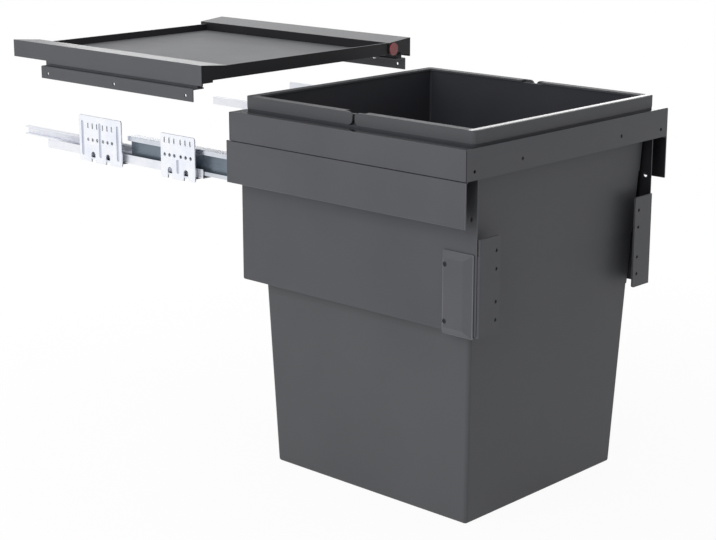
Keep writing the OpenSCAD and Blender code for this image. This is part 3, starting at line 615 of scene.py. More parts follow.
class Look(Enum):
    """All finishes of the part."""

    COAT = Finish("powder coat", "#48494d", "#4d4e52", 0.40, 0.52, gloss=0.35)
    # Lighter finish that the coat's bevels take: edge wear and a painted highlight along the edges
    COAT_EDGE_WEAR_AND_HIGHLIGHT = Finish("powder coat edge", "#5c5d61", "#66676b", 0.36, 0.46, gloss=0.45)
    COAT_DARK = Finish("shaded coat", "#1b1b1e", "#212124", 0.44, 0.56, gloss=0.25)
    # Dark polished finish of the bands' upper faces under the rim: painted shade
    LEDGE_SHADE = Finish("polished ledge, painted shade", "#25262a", "#2c2d31", 0.1, 0.16, relief=0.04, gloss=0.6, coat=1.0)
    PANEL = Finish("panel coat", "#45464a", "#4a4b4f", 0.42, 0.54, gloss=0.35, drift=6)
    MOULDING = Finish("grained moulding", "#4a4b4f", "#505155", 0.42, 0.56, scale=700, gloss=0.35)
    # Lighter finish of the covers' sloped faces: painted highlight
    MOULDING_BEVEL_HIGHLIGHT = Finish("moulding bevel", "#505155", "#57585c", 0.42, 0.56, scale=700, gloss=0.35)
    # Lighter finish that the mouldings' bevels take: edge wear and a painted highlight
    MOULDING_EDGE_WEAR_AND_HIGHLIGHT = Finish("moulding edge", "#606165", "#6a6b6f", 0.38, 0.48, scale=700, gloss=0.45)
    LID = Finish("lid floor", "#66676a", "#707174", 0.48, 0.58, scale=600)
    LID_TOP = Finish("lid rail top", "#4c4d51", "#55565a", 0.3, 0.38, scale=600, relief=0.06)
    LID_DARK = Finish("lid shadow side", "#1d1d20", "#232327", 0.44, 0.56, scale=600, gloss=0.25)
    BIN_OUT = Finish("bin moulding", "#46474a", "#4c4d50", 0.42, 0.55, scale=800, drift=5, gloss=0.35)
    # Dark finish of the bin's inside, its flange sides and the rear ring's top: painted shade
    BIN_SHADE = Finish("bin inner wall", "#313237", "#393a3f", 0.46, 0.58, scale=800, drift=5, gloss=0.25)
    # Lighter finish that the ring's bevels take: edge wear and a painted highlight
    BIN_EDGE_WEAR_AND_HIGHLIGHT = Finish("bin edge, wear and painted highlight", "#5a5b5f", "#66676b", 0.34, 0.44, scale=800)
    # Lighter polished finish of the front ring's top strip: painted highlight
    GRIP = Finish("polished grip, painted highlight", "#5a5b5f", "#66676b", 0.12, 0.18, scale=800, relief=0.04, gloss=0.6,
                  coat=1.0)
    ZINC = plated("zinc plate", "#eaeef9", "#f6f8fd", 0.34, 0.46)
    # Darker zinc in the pressed beads: painted shade
    BEAD_SHADE = plated("zinc bead, painted shade", "#c2c8d5", "#d2d7e3", 0.36, 0.48)
    CARRIER = plated("zinc carrier", "#e4e6f0", "#f2f3f8", 0.3, 0.42)
    SCREW = plated("black zinc screw", "#35363a", "#424347", 0.3, 0.42, scale=600, drift=60, relief=0.1,
                   depth=0.00003, metal=0.4)
    RAIL = rolled("rolled rail", "#c2c6ce", "#d9dde5", 0.22, 0.34, drift=20, metal=1.0)
    # Darker zinc in the rail's outer channel and on the brackets' feet: painted shade
    CHANNEL_SHADE = rolled("oiled channel", "#66717c", "#7e8994", 0.26, 0.4, drift=14, metal=0.75)
    NYLON = Finish("black nylon", "#1b1b1d", "#232325", 0.4, 0.5, scale=1200)
    BALL = Finish("polished ball", "#c4c6ca", "#d6d8dc", 0.06, 0.14, scale=1500, relief=0.03, metal=1.0)
    BADGE = Finish("red enamel", "#861b24", "#94242c", 0.22, 0.3, scale=500, drift=60, relief=0.05, coat=0.4)


@dataclass
class Palette:
    """Materials of the finishes, each built when it is first asked for."""

    effects: Effects = field(default_factory=Effects)
    made: dict[Look, bpy.types.Material] = field(default_factory=dict)

    def get(self, look: Look) -> bpy.types.Material:
        """Gives a finish's material."""
        if look not in self.made:
            self.made[look] = look.value.material(self.effects)
        return self.made[look]


@dataclass
class Assembly(Bench):
    """Common work of the sub-assemblies: dressing pieces and setting them on their bodies."""

    palette: Palette

    def place(self, piece: Piece, body: str, slot: Slot, node: str, looks: Sequence[Look],
              paints: Sequence[tuple[int, Test]] = (), crease: float = CREASE) -> None:
        """Dresses a piece and sets it on its body, with its mirror image where the node's name holds a side.

        Args:
            piece: The piece, or the left one of a pair.
            body: Body that it moves with.
            slot: Material slot of the record; not used.
            node: Name of the solid that it stands for.
            looks: Finishes of its slots in order.
            paints: Slots and the tests on a face's middle and normal that give them, in order.
            crease: Angle from which an edge is shaded sharp.
        """
        while len(piece.data.materials) < len(looks):
            piece.data.materials.append(None)
        for index, look in enumerate(looks):
            piece.data.materials[index] = self.palette.get(look)
        for index, chosen in paints:
            self.paint(piece, index, chosen)
        halves = [piece]
        if "{side}" in node:
            halves.append(self.mirrored(piece, piece.name.replace("left", "right")))
        for half, side in zip(halves, SIDES):
            self.smooth(half, crease)
            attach(half, body.format(side=side))
            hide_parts(node.format(side=side))
            LOG.info("%s for %s", half.name, node.format(side=side))


@dataclass
class BandRing(Assembly):
    """Folded bands round the top of the pull-out frame."""

    half_width: float = 204.5
    depth: float = 395.0
    top: float = 26.5
    bottom: float = -10.5
    sheet: float = 1.5
    ledge_half: float = 177.5
    ledge_end: float = 12.0
    return_end: float = 21.5
    return_drop: float = 2.0
    outer_hole: float = 190.0
    inner_hole: float = 101.0
    inner_rise: float = 3.0
    bend: float = 1.3

    def cross(self, name: str, drilled: bool) -> Piece:
        """Builds a cross band with its ledge and end returns, its outer face at Y = 0.

        Args:
            name: Name of the piece.
            drilled: Whether it has the door's screw holes.

        Returns:
            The band.
        """
        half, ledge, t, top = self.half_width, self.ledge_half, self.sheet, self.top
        low = self.bottom - self.return_drop
        wall = self.block(name, (-half, 0, self.bottom), (half, t, top))
        parts = [((-ledge, t / 2, top - t), (ledge, self.ledge_end, top))]
        parts += [((x, t / 2, low), (x + t, self.return_end, top - 2 * t)) for x in (t - half, half - 2 * t)]
        self.weld(wall, *[self.block("part", start, end) for start, end in parts])
        if drilled:
            pairs = ((self.outer_hole, 0), (self.inner_hole, self.inner_rise))
            places = [(sign * x, 0, z) for x, z in pairs for sign in (-1, 1)]
            self.cut(wall, *self.holes(SCREW_HOLE, Axis.Y, places, t))
        self.round_edges(wall, self.bend, 4, lambda mid, way: way.x > ALONG and abs(mid.z - top) < NEAR
                         and mid.y < NEAR)
        self.soften(wall, 0.35, edge_slot=1)
        return wall

    def build(self) -> None:
        """Builds the four bands, with dark ends on the cross bands and polished upper faces for the rim that
        carry painted shade.
        """
        half, ledge, t, top = self.half_width, self.ledge_half, self.sheet, self.top
        looks = (Look.COAT, Look.COAT_EDGE_WEAR_AND_HIGHLIGHT, Look.LEDGE_SHADE, Look.COAT_DARK)
        # Slot 2 paints shade on the polished upper faces; slot 3 darkens the cross bands' ends
        paints = ((2, lambda mid, way: way.z > 0.99 and mid.z > top - 0.1),
                  (3, lambda mid, way: abs(way.x) > ALONG and abs(mid.x) > half - 0.1))
        front = self.cross("front_band_sheet", True)
        plain = self.cross("plain_band", False)
        back = self.mirrored(plain, "rear_band_sheet", (1, -1, 1), (0, self.depth, 0))
        bpy.data.objects.remove(plain, do_unlink=True)
        self.place(front, "frame", Slot.STEEL, "front_band", looks, paints)
        self.place(back, "frame", Slot.STEEL, "rear_band", looks, paints)
        shape = [(-half, self.bottom), (t - half, self.bottom), (t - half, top - t), (-ledge, top - t),
                 (-ledge, top), (-half, top)]
        side = self.drawn("left_band_sheet", shape, Axis.Y, t, self.depth - t)
        self.round_edges(side, self.bend, 4, lambda mid, way: way.y > ALONG and mid.z > top - NEAR
                         and mid.x < NEAR - half)
        self.soften(side, 0.3, edge_slot=1)
        self.place(side, "frame", Slot.STEEL, "{side}_upper_band", looks[:3], paints[:1])


@dataclass
class SideSheets(Assembly):
    """Slide covers over the runners and the long inner panels."""

    cover_x: Flat = (-205.5, -203.3)
    cover_z: Flat = (-66.0, -10.9)
    cover_front: float = 0.4
    band_in: float = 203.0
    hook: float = 2.0
    hook_y: Flat = (23.5, 371.5)
    hook_top: float = -0.5
    panel_x: Flat = (-179.0, -177.5)
    panel_z: Flat = (-200.5, 25.0)
    panel_y: Flat = (4.0, 392.0)
    sheet_back: float = 400.0
    notch: float = -11.5
    flange: float = 12.0
    flange_t: float = 1.5
    flange_y: Flat = (20.0, 375.0)
    locating_radius: float = 2.75
    locating: Flat = (13.0, -60.0)
    lap: float = 0.5

    def cover(self) -> None:
        """Builds the slide covers with the hooks that hold them behind the side bands."""
        (x0, x1), (z0, z1) = self.cover_x, self.cover_z
        cover = self.block("left_cover_sheet", (x0, self.cover_front, z0), (x1, self.sheet_back, z1))
        self.soften(cover, 0.5, 3, edge_slot=1)
        start, band, high = x1 - self.lap, -self.band_in, self.hook_top
        end, low = band + self.hook, z1 - self.hook
        lip = [(start, low), (end, low), (end, high), (band, high), (band, z1), (start, z1 - 0.05)]
        self.weld(cover, self.drawn("hook", lip, Axis.Y, *self.hook_y))
        self.place(cover, "frame", Slot.STEEL, "{side}_slide_cover",
                   (Look.COAT, Look.COAT_EDGE_WEAR_AND_HIGHLIGHT, Look.COAT_DARK),
                   ((2, lambda mid, way: way.x > FACING or (way.z > 0.2 and mid.z < z1 + 0.1)),))

    def panel(self) -> None:
        """Builds the inner panels with their upper flanges and holes."""
        (x0, x1), (y0, y1), (z0, z1) = self.panel_x, self.panel_y, self.panel_z
        back, notch, t = self.sheet_back, self.notch, x1 - x0
        outline = [(y0, z0), (back, z0), (back, notch), (y1, notch), (y1, z1), (y0, z1)]
        panel = self.drawn("left_panel_sheet", outline, Axis.X, x0, x1)
        self.round_edges(panel, 2.5, 4, lambda mid, way: way.x > ALONG and mid.z < z0 + NEAR)
        self.weld(panel, self.block("flange", (x0 - self.flange, self.flange_y[0], z1 - self.flange_t),
                                    (x1 - self.lap, self.flange_y[1], z1)))
        self.soften(panel, 0.3, edge_slot=1)
        self.cut(panel, *self.holes(self.locating_radius, Axis.X, [(x0, *self.locating)], t),
                 *self.holes(THREAD_HOLE, Axis.X, [(x0, ADJUSTER_Y, z) for z in ADJUSTER_ZS], t))
        self.place(panel, "frame", Slot.STEEL, "{side}_side_panel",
                   (Look.PANEL, Look.COAT_EDGE_WEAR_AND_HIGHLIGHT, Look.COAT_DARK), ((2, lambda mid, way: way.x > FACING),))

    def build(self) -> None:
        """Builds both covers and both panels."""
        self.cover()
        self.panel()


@dataclass
class DoorBrackets(Assembly):
    """Door flanges, their bevelled covers and the adjuster screws."""

    outer: float = 177.5
    sheet: float = 2.5
    reach: float = 38.5
    low: float = -202.5
    high: float = -82.5
    leg_high: float = -103.5
    leg_back: float = 52.0
    hole_in: float = 30.5
    hole_zs: tuple[float, ...] = (-185.0, -162.5, -122.5, -100.0)
    cover_face: float = 179.0
    cover_t: float = 5.5
    cover_edge: float = 2.0
    cover_bevel: float = 3.0
    cover_front_bevel: float = 13.0
    cover_end_bevel: float = 9.0
    cover_y: Flat = (7.0, 54.0)
    cover_z: Flat = (-204.5, -101.5)
    cover_crease: float = 12.0
    head_bore: float = 3.1
    head_radius: float = 3.0
    shank_radius: float = 1.75
    shank_end: float = -174.0
    recess: Flat = (1.9, 0.4)
    recess_depth: float = 0.8

    def flange(self) -> None:
        """Builds the folded door brackets."""
        x0, t = -self.outer, self.sheet
        shape = [(x0, 0), (x0 + self.reach, 0), (x0 + self.reach, t), (x0 + t, t), (x0 + t, self.leg_back),
                 (x0, self.leg_back)]
        plate = self.drawn("left_bracket_sheet", shape, Axis.Z, self.low, self.high)
        step = self.block("step", (x0 - PAST, t, self.leg_high),
                          (x0 + t + PAST, self.leg_back + PAST, self.high + PAST))
        self.cut(plate, step,
                 *self.holes(SCREW_HOLE, Axis.Y, [(x0 + self.hole_in, 0, z) for z in self.hole_zs], t),
                 *self.holes(THREAD_HOLE, Axis.X, [(x0, ADJUSTER_Y, z) for z in ADJUSTER_ZS], t))
        self.round_edges(plate, 2.4, 5, lambda mid, way: way.z > ALONG and mid.x < x0 + NEAR and mid.y < NEAR)
        self.round_edges(plate, 3.0, 5, lambda mid, way: way.y > ALONG and mid.x > x0 + self.reach - NEAR)
        self.soften(plate, 0.3, edge_slot=1)
        self.place(plate, "frame", Slot.STEEL, "{side}_door_bracket", (Look.COAT, Look.COAT_EDGE_WEAR_AND_HIGHLIGHT))

    def cover(self) -> None:
        """Builds the raised covers, whose outer faces draw in."""
        x1 = -self.cover_face
        x0, rim = x1 - self.cover_t, x1 - self.cover_edge
        (y0, y1), (z0, z1) = self.cover_y, self.cover_z
        pad = self.block("left_bracket_cap", (rim, y0, z0), (x1, y1, z1))
        narrow = 1 - (self.cover_front_bevel + self.cover_bevel) / (y1 - y0)
        short = 1 - 2 * self.cover_end_bevel / (z1 - z0)
        still = y0 + self.cover_front_bevel / (1 - narrow)
        with self.edit(pad):
            self.mark(pad, lambda face: face.normal.x < -ALONG)
            bpy.ops.mesh.extrude_region_move(TRANSFORM_OT_translate={"value": ((x0 - rim) * MM, 0, 0)})
            bpy.ops.transform.resize(value=(1, narrow, short),
                                     center_override=(x0 * MM, still * MM, (z0 + z1) / 2 * MM))
        self.soften(pad, 0.9, 3, edge_slot=1)
        for z in ADJUSTER_ZS:
            for radius, end in ((THREAD_HOLE, x1 + PAST), (self.head_bore, x0 + self.cover_t / 2)):
                start = x0 - PAST
                self.cut(pad, self.rod("bore", radius, Axis.X, (start, ADJUSTER_Y, z), end - start))
        # Slot 3 paints a highlight on the sloped faces and slot 2 paints shade on the low side walls
        self.place(pad, "frame", Slot.MOULDING, "{side}_bracket_cover",
                   (Look.MOULDING, Look.MOULDING_EDGE_WEAR_AND_HIGHLIGHT, Look.COAT_DARK, Look.MOULDING_BEVEL_HIGHLIGHT),
                   ((3, lambda mid, way: mid.x < rim and way.x < -0.5
                     and (way.y > 0.3 or 0.2 < abs(way.z) < 0.5)),
                    (2, lambda mid, way: abs(way.x) < 0.1 and mid.x > rim)), self.cover_crease)

    def screws(self) -> None:
        """Builds one screw with a cross recess and copies it to its four places."""
        height = self.cover_t / 4
        seat = -self.cover_face - self.cover_t / 2
        tip, y, z = seat - height, ADJUSTER_Y, ADJUSTER_ZS[0]
        head = self.rod("adjusters", self.head_radius, Axis.X, (tip, y, z), height)
        self.round_edges(head, 0.5, 3, lambda mid, way: mid.x < tip + NEAR)
        start, deep = seat - 0.1, tip + self.recess_depth
        self.weld(head, self.rod("shank", self.shank_radius, Axis.X, (start, y, z), self.shank_end - start))
        self.cut(head, *[self.block("slot", (tip - PAST, y - a, z - b), (deep, y + a, z + b))
                         for a, b in (self.recess, self.recess[::-1])])
        second = self.copy(head, "adjuster", (0, 0, ADJUSTER_ZS[1] - z))
        pair = self.join("adjuster_screw_set", head, second)
        whole = self.join("adjuster_screw_set", pair, self.mirrored(pair, "adjuster_twins"))
        self.place(whole, "frame", Slot.ZINC, "adjuster_screws", (Look.SCREW,))

    def build(self) -> None:
        """Builds the brackets, covers and screws."""
        self.flange()
        self.cover()
        self.screws()


@dataclass
class Bin(Assembly):
    """Tapered bin and the two halves of its rim ring."""

    half_w: float = 176.0
    half_d: float = 184.5
    middle: float = 197.5
    band: float = 26.5
    height: float = 481.0
    wall: float = 2.2
    taper_x: float = 21.0
    taper_front: float = 20.0
    taper_back: float = 14.0
    corner: float = 5.0
    step: float = 0.8
    steps: tuple[float, ...] = (80.0, 162.0, 231.0)
    rim: float = 2.5
    ring_over: float = 6.0
    ring_corner: float = 6.0
    ring_t: float = 2.5
    ring_top_w: float = 12.0
    ring_h: float = 15.7
    lift: float = 0.3
    lap: float = 0.5
    ring_gap: float = 4.0
    end_radius: float = 7.0
    end_open: float = 14.5
    highlight_cuts: Flat = (8.0, 0.6)

    def __post_init__(self) -> None:
        """Works out the heights of the rim and of the ring on it, and the shell's thickness."""
        self.rim_top = self.band + self.rim
        self.ring_low = self.rim_top + self.lift
        self.ring_high = self.ring_low + self.ring_h
        self.thick = self.wall + len(self.steps) * self.step

    def section(self, inset: float, depth: float) -> tuple[float, float, Flat]:
        """Half sizes and middle of the bin's section.

        Args:
            inset: How far the section lies inside the outer face.
            depth: Its depth below the band.

        Returns:
            Half of its width, half of its depth and its middle.
        """
        share = depth / self.height
        shift = (self.taper_front - self.taper_back) / 2 * share
        shrink = (self.taper_front + self.taper_back) / 2 * share
        half_w = self.half_w - inset - self.taper_x * share
        return half_w, self.half_d - inset - shrink, (0, self.middle + shift)

    def outline(self, inset: float, depth: float, radius: float) -> list[Flat]:
        """Outline of the bin's section, with round corners."""
        half_w, half_d, middle = self.section(inset, depth)
        return rounded(half_w, half_d, radius, middle)

    @staticmethod
    def grow(piece: Piece, ring: Sequence[Flat], z: float) -> None:
        """Extrudes the selected end face and sets its corners on the next ring.

        Args:
            piece: The piece, in edit mode.
            ring: Points of the next ring.
            z: Its height.
        """
        bpy.ops.mesh.extrude_region_move(TRANSFORM_OT_translate={"value": (0, 0, 0)})
        mesh = bmesh.from_edit_mesh(piece.data)
        face = next(f for f in mesh.faces if f.select)
        centre = face.calc_center_median()
        target = sorted(ring, key=lambda p: math.atan2(p[1] * MM - centre.y, p[0] * MM - centre.x))
        corners = sorted(face.verts, key=lambda v: math.atan2(v.co.y - centre.y, v.co.x - centre.x))
        for vertex, point in zip(corners, target):
            vertex.co = (point[0] * MM, point[1] * MM, z * MM)
        bmesh.update_edit_mesh(piece.data)

    def inside(self, mid: Vector, normal: Vector) -> bool:
        """Tells whether a face belongs to the bin's inside."""
        half_w, half_d, middle = self.section(self.thick - 0.3, max(0.0, self.band - mid.z))
        return (abs(mid.x) < half_w and abs(mid.y - middle[1]) < half_d and normal.z > -0.2
                and mid.z > self.band - self.height + 1)

    def bucket(self) -> None:
        """Builds the bin from its top rim downwards, then sinks its inside."""
        top = self.ring_high - self.ring_t - self.lap
        floor = self.band - self.height
        start = self.outline(0, 0, self.corner)
        shell = self.drawn("bucket_shell", start, Axis.Z, self.rim_top, top)
        over = self.ring_over - self.lap
        flange = self.outline(-over, 0, self.ring_corner - self.lap)
        levels = [(self.rim_top, flange), (self.band, flange), (self.band, start)]
        for index, depth in enumerate(self.steps + (self.height,)):
            insets = [index * self.step]
            if depth != self.height:
                insets.append((index + 1) * self.step)
            levels += [(self.band - depth, self.outline(inset, depth, self.corner)) for inset in insets]
        sunk, mouth = self.height - self.wall, (top - 0.1) * MM
        with self.edit(shell):
            self.mark(shell, lambda face: face.normal.z < -ALONG)
            for z, ring in levels:
                self.grow(shell, ring, z)
            self.mark(shell, lambda face: face.normal.z > ALONG and face.calc_center_median().z > mouth)
            for z, depth in ((top, 0.0), (self.band, 0.0), (self.band - sunk, sunk)):
                self.grow(shell, self.outline(self.thick, depth, self.corner - self.wall), z)
            self.outward()
        self.round_edges(shell, 3.0, 4, lambda mid, way: way.z < 0.1 and mid.z < floor + NEAR)
        self.round_edges(shell, 0.5, 2, lambda mid, way: way.z < 0.1 and mid.z > self.rim_top - 0.1)
        # Slot 1 paints shade on the bin's inside and on the flange's sides under the ring
        self.place(shell, "frame", Slot.BIN, "bucket", (Look.BIN_OUT, Look.BIN_SHADE),
                   ((1, self.inside),
                    (1, lambda mid, way: abs(way.z) < 0.5 and self.band + 0.2 < mid.z < self.rim_top - 0.2)))

    def arc_path(self, inset: float, radius: float, over: float = 0.0) -> list[Flat]:
        """Front half of the ring's outline from its left end to its right end.

        Args:
            inset: How far it lies inside the ring's outer face.
            radius: Its corner radius.
            over: How far it runs past the half's ends.

        Returns:
            The path's points.
        """
        half_w, half_d = self.half_w + self.ring_over - inset, self.half_d + self.ring_over - inset
        end = self.middle - self.ring_gap / 2 + over
        path = [(-half_w, end)]
        for sign, turn in ((-1, 2), (1, 3)):
            path += quarter((sign * (half_w - radius), self.middle - half_d + radius), radius, turn)
        return path + [(half_w, end)]

    def handles(self) -> None:
        """Builds the front half of the rim ring, with round ends, and mirrors it to the back."""
        low, high = self.ring_low, self.ring_high
        inner = self.ring_corner - self.ring_t
        bar = self.arc_path(0, self.ring_corner) + self.arc_path(self.ring_top_w, inner)[::-1]
        front = self.drawn("front_handle_half", bar, Axis.Z, low, high)
        room = self.arc_path(self.ring_t, inner, PAST)
        room += self.arc_path(self.ring_top_w + PAST, inner, PAST)[::-1]
        self.cut(front, self.drawn("room", room, Axis.Z, low - PAST, high - self.ring_t))
        reach, radius = self.half_w + self.ring_over, self.end_radius
        end, face = self.middle - self.ring_gap / 2, self.middle - self.half_d - self.ring_over
        for flat, sign, turn in ((high, 1, 0), (low, -1, 3)):
            arc = quarter((end - radius, flat - sign * radius), radius, turn)[::1 if turn else -1]
            past, out = flat + sign * PAST, end + PAST
            corner = [(out, past), (end - radius, past), *arc, (out, flat - sign * radius)]
            self.cut(front, self.drawn("corner", corner, Axis.X, -reach - PAST, reach + PAST))
        free = reach - self.ring_t - self.lap
        self.cut(front, self.block("open end", (-free, end - self.end_open, low - PAST),
                                   (free, end + PAST, high + PAST)))
        self.round_edges(front, 1.1, 3, lambda mid, way: way.z < 0.1 and mid.z > high - NEAR
                         and (abs(mid.x) > reach - self.ring_over or mid.y < face + self.ring_over + 0.1)
                         and (abs(abs(mid.x) - reach) < 0.1 or mid.y < face + self.ring_over))
        self.soften(front, 0.4, edge_slot=1)
        grip = face + self.ring_top_w
        with self.edit(front):
            for line in self.highlight_cuts:
                bpy.ops.mesh.select_all(action="SELECT")
                bpy.ops.mesh.bisect(plane_co=(0, (grip - line) * MM, 0), plane_no=(0, 1, 0))
        # Slot 2 paints a highlight on the top strip of the front half
        self.paint(front, 2, lambda mid, way: way.z > 0.3 and mid.z > high - 1.2
                   and grip - self.highlight_cuts[0] < mid.y < grip)
        back = self.mirrored(front, "rear_handle_half", (1, -1, 1), (0, 2 * self.middle, 0))
        # Slot 2 of the rear half paints shade on its top
        self.paint(back, 2, lambda mid, way: way.z > 0.2 and mid.y > 2 * self.middle - grip)
        self.place(front, "frame", Slot.BIN, "front_handle", (Look.BIN_OUT, Look.BIN_EDGE_WEAR_AND_HIGHLIGHT, Look.GRIP))
        self.place(back, "frame", Slot.BIN, "rear_handle", (Look.BIN_OUT, Look.BIN_EDGE_WEAR_AND_HIGHLIGHT, Look.BIN_SHADE))

    def build(self) -> None:
        """Builds the bin and its handles."""
        self.bucket()
        self.handles()


@dataclass
class Lid(Assembly):
    """Lid that stays in the cabinet: sunk tray, side rails, wall angles and the plain disc."""

    outer: float = 204.5
    inner: float = 158.5
    front: float = 446.0
    back: float = 850.0
    top: float = 80.5
    bottom: float = 56.5
    skirt: float = 53.5
    wall: float = 2.5
    skirt_back: float = 79.0
    fall: float = 4.0
    edge: float = 2.0
    tray: float = 63.5
    tray_back: float = 11.0
    tray_front: float = 2.0
    tray_lip_drop: float = 4.5
    tray_back_h: float = 10.0
    tongue: float = 26.0
    boss_radius: float = 3.5
    angle_out: float = 209.0
    angle_w: float = 20.0
    angle_t: float = 2.0
    angle_high: float = 49.5
    angle_low: float = 32.0
    angle_y: Flat = (459.0, 781.0)
    angle_holes: tuple[float, ...] = (473.5, 620.0, 766.5)
    angle_hole_z: float = 39.5
    seat_x: Flat = (191.0, 200.0)
    screw_ys: tuple[float, ...] = (508.0, 620.0, 732.0)
    badge_x: float = 168.0
    badge_z: float = 67.0
    badge_radius: float = 9.0
    badge_t: float = 1.2
    badge_rim: float = 0.8
    badge_sink: float = 0.25

    def rail(self) -> None:
        """Builds the rails: closed above, open below, with tops that fall towards the tray."""
        x0, x1, y0, y1 = -self.outer, -self.inner, self.front, self.back
        low, thin, top = self.skirt, self.wall, self.top
        floor = self.tray - thin
        shape = [(x0, low), (x1, low), (x1, top - self.fall), (x0 + self.edge, top), (x0, top)]
        rail = self.drawn("left_lid_box", shape, Axis.Y, y0, y1)
        under = low - PAST
        hollow = [(x0 + thin, under), (x1 - thin, under), (x1 - thin, top - thin - self.fall),
                  (x0 + thin, top - thin)]
        room = [((x0 + thin, y0 - PAST), self.bottom), ((x0 - PAST, y1 - self.skirt_back), self.bottom),
                ((x1 - self.tongue, y0 - PAST), floor)]
        self.cut(rail, self.drawn("hollow", hollow, Axis.Y, y0 + thin, y1 - thin),
                 *[self.block("room", (*start, under), (x1 + PAST, y1 + PAST, z)) for start, z in room])
        seat = self.block("seat", (-self.seat_x[1], self.angle_y[0], self.angle_high),
                          (-self.seat_x[0], self.angle_y[1], top - thin - self.edge))
        x, height = x1 - self.tongue / 2, top - self.fall - thin / 2 - floor
        self.weld(rail, seat, *[self.rod("boss", self.boss_radius, Axis.Z, (x, y, floor), height)
                                for y in self.screw_ys])
        self.soften(rail, 0.9, 3, edge_slot=1)
        self.place(rail, "cabinet_side", Slot.MOULDING, "lid_{side}_rail",
                   (Look.MOULDING, Look.MOULDING_EDGE_WEAR_AND_HIGHLIGHT, Look.LID_DARK, Look.LID_TOP),
                   ((2, lambda mid, way: abs(way.y) > FACING or way.x > FACING),
                    (3, lambda mid, way: way.z > 0.3 and mid.z > top - self.fall - 0.5)))

    def pan(self) -> None:
        """Builds the tray with its front lip, back upstand and side tongues."""
        y0, y1 = self.front + self.tray_front, self.back - self.tray_back
        half, thin, top = self.inner, self.wall, self.tray
        floor = top - thin
        pan = self.block("lid_pan", (-half, y0, floor), (half, y1, top))
        parts = [((-half, y0, top - self.tray_lip_drop), (half, y0 + thin, self.top - self.fall)),
                 ((-half, y1 - thin, floor), (half, y1, top + self.tray_back_h))]
        for x in (-half - self.tongue, half - thin):
            parts.append(((x, y0 + thin, floor - thin), (x + self.tongue + thin, y1, floor)))
        self.weld(pan, *[self.block("part", low, high) for low, high in parts])
        self.soften(pan, 0.6, edge_slot=1)
        self.place(pan, "cabinet_side", Slot.STEEL, "lid_tray", (Look.LID, Look.COAT_EDGE_WEAR_AND_HIGHLIGHT, Look.LID_DARK),
                   ((2, lambda mid, way: abs(way.y) > FACING),))

    def angle(self) -> None:
        """Builds the folded wall angles with their screw holes."""
        x0, t, low, high = -self.angle_out, self.angle_t, self.angle_low, self.angle_high
        x1, middle = x0 + self.angle_w, -sum(self.seat_x) / 2
        shape = [(x0, low), (x0 + t, low), (x0 + t, high - t), (x1, high - t), (x1, high), (x0, high)]
        angle = self.drawn("left_wall_angle", shape, Axis.Y, *self.angle_y)
        self.round_edges(angle, 1.6, 4, lambda mid, way: way.y > ALONG and mid.x < x0 + NEAR
                         and mid.z > high - NEAR)
        self.soften(angle, 0.35, edge_slot=1)
        self.cut(angle,
                 *self.holes(SCREW_HOLE, Axis.X, [(x0, y, self.angle_hole_z) for y in self.angle_holes], t),
                 *self.holes(THREAD_HOLE, Axis.Z, [(middle, y, high - t) for y in self.screw_ys], t))
        self.place(angle, "cabinet_side", Slot.STEEL, "lid_{side}_wall_angle", (Look.COAT, Look.COAT_EDGE_WEAR_AND_HIGHLIGHT))

    def disc(self) -> None:
        """Builds the plain enamel disc with a raised rim."""
        face = self.front - self.badge_t
        start = (self.badge_x, face, self.badge_z)
        disc = self.rod("lid_disc", self.badge_radius, Axis.Y, start, self.badge_t, 64)
        self.round_edges(disc, 0.5, 3, lambda mid, way: mid.y < face + NEAR)
        with self.edit(disc):
            self.mark(disc, lambda polygon: polygon.normal.y < -0.99 and len(polygon.verts) > 8)
            bpy.ops.mesh.inset(thickness=self.badge_rim * MM, depth=-self.badge_sink * MM)
        self.place(disc, "cabinet_side", Slot.BADGE, "lid_badge", (Look.BADGE,))

    def build(self) -> None:
        """Builds the lid's pieces."""
        self.rail()
        self.pan()
        self.angle()
        self.disc()


